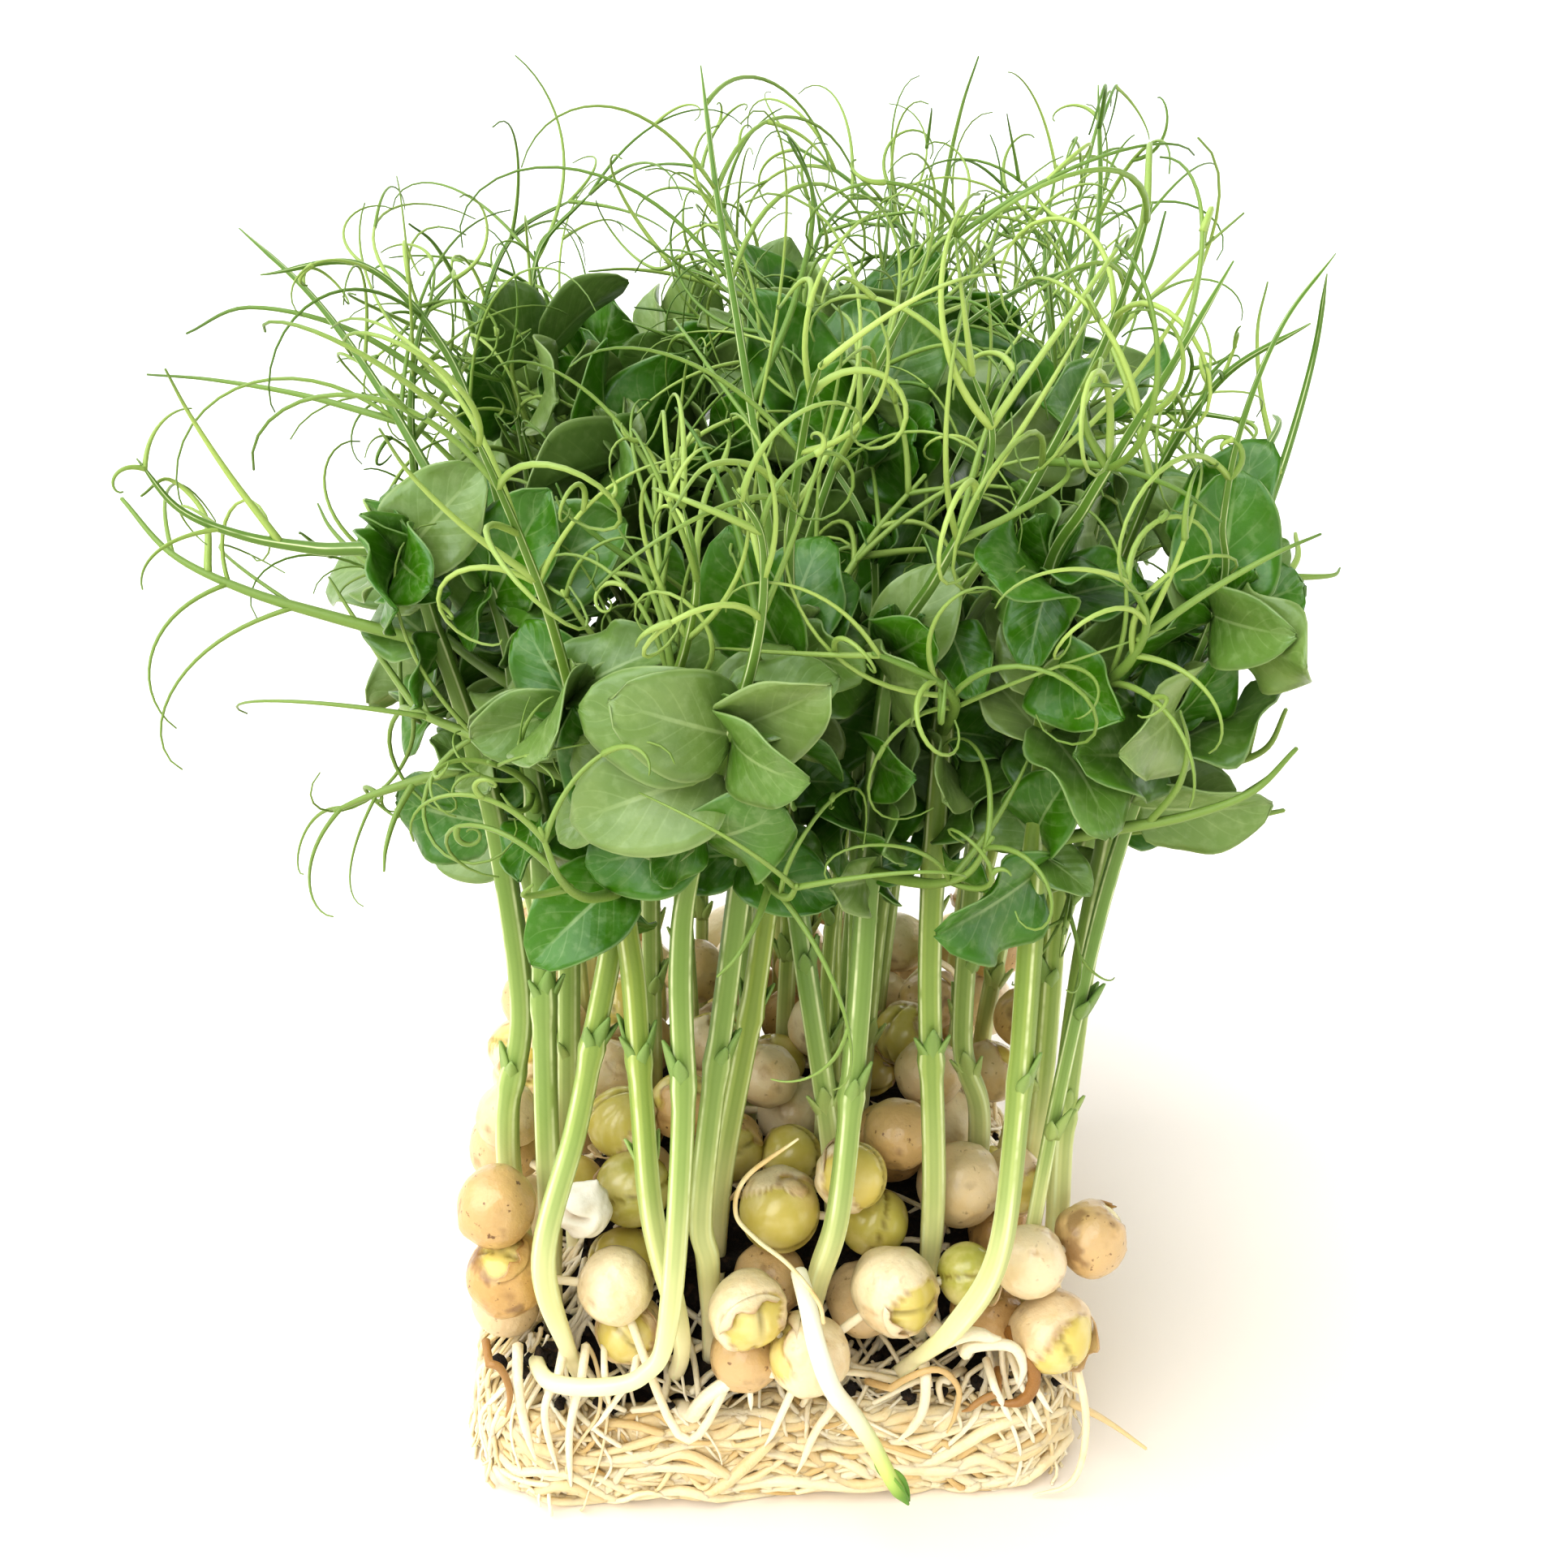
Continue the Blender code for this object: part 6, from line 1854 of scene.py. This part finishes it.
def slender_shoots(space, first):
    """Thinner shoots between the others, each with a few leaves and a stalk with tendrils."""
    found = []
    rng = draws(SLENDER_STREAM)
    for _ in range(SLENDER_TRIES):
        stem = grown_stem(*rng.uniform((-31, -30), (31, 34)) * MM, rng)
        number = first + len(found)
        line = filled_line(stem[1:])
        if len(found) < SLENDER_SHOOTS and space.is_free(line, SLENDER_RADIUS, number):
            shoot = Shoot(number, stem, grown_joints(stem, rng)[-1:], rng, measured=False)
            shoot.slim = SLENDER_SLIM
            add_stalk(shoot, shoot.joints[-1], space)
            if shoot.leader is not None:
                space.take(line, SLENDER_RADIUS, number)
                found.append(shoot)
    return found


def within_leaves(blade):
    """True if the blade stays between the left and the right side of the mass of leaves."""
    x = blade.corners()[:, 0]
    return x.min() > LEAVES_LEFT and x.max() < LEAVES_RIGHT


def more_leaves(shoots, space):
    """More pairs of drawn leaves above the lower joints, facing out of the block, where there is
    room. Shoots behind get extra pairs in the crown, and those of them near the middle get
    leaves up the lower half of the top stalk too."""
    for shoot in shoots:
        # From here on its leaves are drawn and not matched to measured ones
        shoot.measured = False
        stem = shoot.stem
        x, y, _ = stem[-1]
        behind = y > BEHIND
        if behind and abs(x) < NEAR_MIDDLE and shoot.leader is not None:
            shoot.stem = np.vstack((stem, shoot.leader[1:3]))
        rng, top = shoot.rng, min(shoot.stem[-1, 2] / MM, LEAF_TOP)
        outward = math.degrees(math.atan2(shoot.stem[-1, 1], shoot.stem[-1, 0]))
        crown = top - rng.uniform(0, CROWN_DEPTH, CROWN_PAIRS) * behind
        for height in (*np.arange(rng.uniform(80, 88), top + 1, LEAF_STEP), *crown):
            height = min(height + rng.uniform(-1.5, 1.5), top)
            azimuth, size = outward + rng.normal() * 55, rng.uniform(10.5, 15.5)
            known = len(shoot.blades)
            add_blades(shoot, (height, azimuth, size, 0, 0), space, (), LEAF_ROOM)
            fitting = [blade for blade in shoot.blades[known:] if within_leaves(blade)]
            shoot.blades[known:] = fitting
        shoot.stem = stem


def more_peas(peas):
    """The places of more peas, between and on top of the others."""
    rng = draws(LOOSE_PEA_STREAM)
    known = len(peas.rows)
    for count, height in LOOSE_LAYERS:
        lay_layer(peas, rng, count, height, MAT_WIDTH)
    return peas.places[known:]


# The whole block


def add_peas(groups, loose, white_root, rng):
    """The groups of peas, each with the roots that hold it together, and the loose peas."""
    coat = pea_finish()
    for number, (places, roots) in enumerate(groups, 1):
        skin = Skin(coat, white_root)
        for place in places:
            add_pea(skin, place, rng)
        if roots:
            add_tubes(skin, smooth_curves(roots, 12), 0.5 * MM, 8, 1, tint=0.3)
        skin.piece(f"peas_{number:02d}_fine", f"peas_{number:02d}", slot="pea")
    skin = Skin(coat)
    for place in loose:
        add_pea(skin, place, rng)
    skin.piece("loose_peas", slot="pea")


def add_roots(white_root, rng):
    """The mat with a loose root on it, the felt over its faces, and the white roots."""
    felt = root_finish("felt", "ecdcb2", "cfae75")
    skin = Skin(felt, white_root)
    add_mat(skin)
    line, radii = smooth_curve(np.array(LOOSE_ROOT) * MM, 24), np.linspace(0.6, 0.2, 24) * MM
    add_tubes(skin, line[None], radii[None], 6, 1, tint=0.8)
    skin.piece("root_mat_fine", "root_mat", slot="root_mat")
    skin = Skin(felt, root_finish("felt_root", "efdfb8", "d3b37a"))
    add_felt(skin, Bundle(rng, FELT_ROOTS, 24))
    skin.piece("mat_roots", slot="root_mat")
    skin = Skin(felt, white_root)
    add_feeders(skin, Bundle(rng, FEEDERS, 22))
    add_curtain(skin, Bundle(rng, CURTAIN_ROOTS, 24))
    add_front_roots(skin)
    add_top_roots(skin, Bundle(rng, TOP_ROOTS, 12))
    skin.piece("white_roots", slot="root_mat")


def add_small_pieces(rng):
    """The medium with its crumbs, the sprout, the thread and the empty seed coat."""
    skin = Skin(medium_finish())
    add_medium(skin)
    add_crumbs(skin, CRUMBS, rng)
    skin.piece("growing_medium_fine", "growing_medium", slot="growing_medium")
    for name, add, finish in (
        ("hanging_sprout", add_sprout, sprout_finish()),
        ("dry_thread", add_thread, thread_finish()),
        ("empty_seed_coat", add_empty_coat, empty_coat_finish()),
    ):
        skin = Skin(finish)
        add(skin)
        skin.piece(name + "_fine", name, slot=name)


def main():
    """Every piece of the block, the stage and the camera."""
    shoots, groups, peas, space = grow()
    slender = slender_shoots(space, len(shoots) + 1)
    more_leaves(shoots + slender, space)
    loose = more_peas(peas)
    green = (stalk_finish("stem", 0.75), leaf_finish(), stalk_finish("tendril", 0.0))
    for shoot in shoots:
        add_shoot(shoot, green, shoot.name)
    for shoot in slender:
        add_shoot(shoot, green)
    rng = draws(BLOCK_STREAM)
    white_root = root_finish("white_root", "f3e8cc", "dcc28c")
    add_peas(groups, loose, white_root, rng)
    add_roots(white_root, rng)
    add_small_pieces(rng)
    add_floor()
    add_lights()
    add_camera()
    bpy.context.scene.view_settings.view_transform = "Standard"
    bpy.context.scene.view_settings.look = "Medium High Contrast"


main()
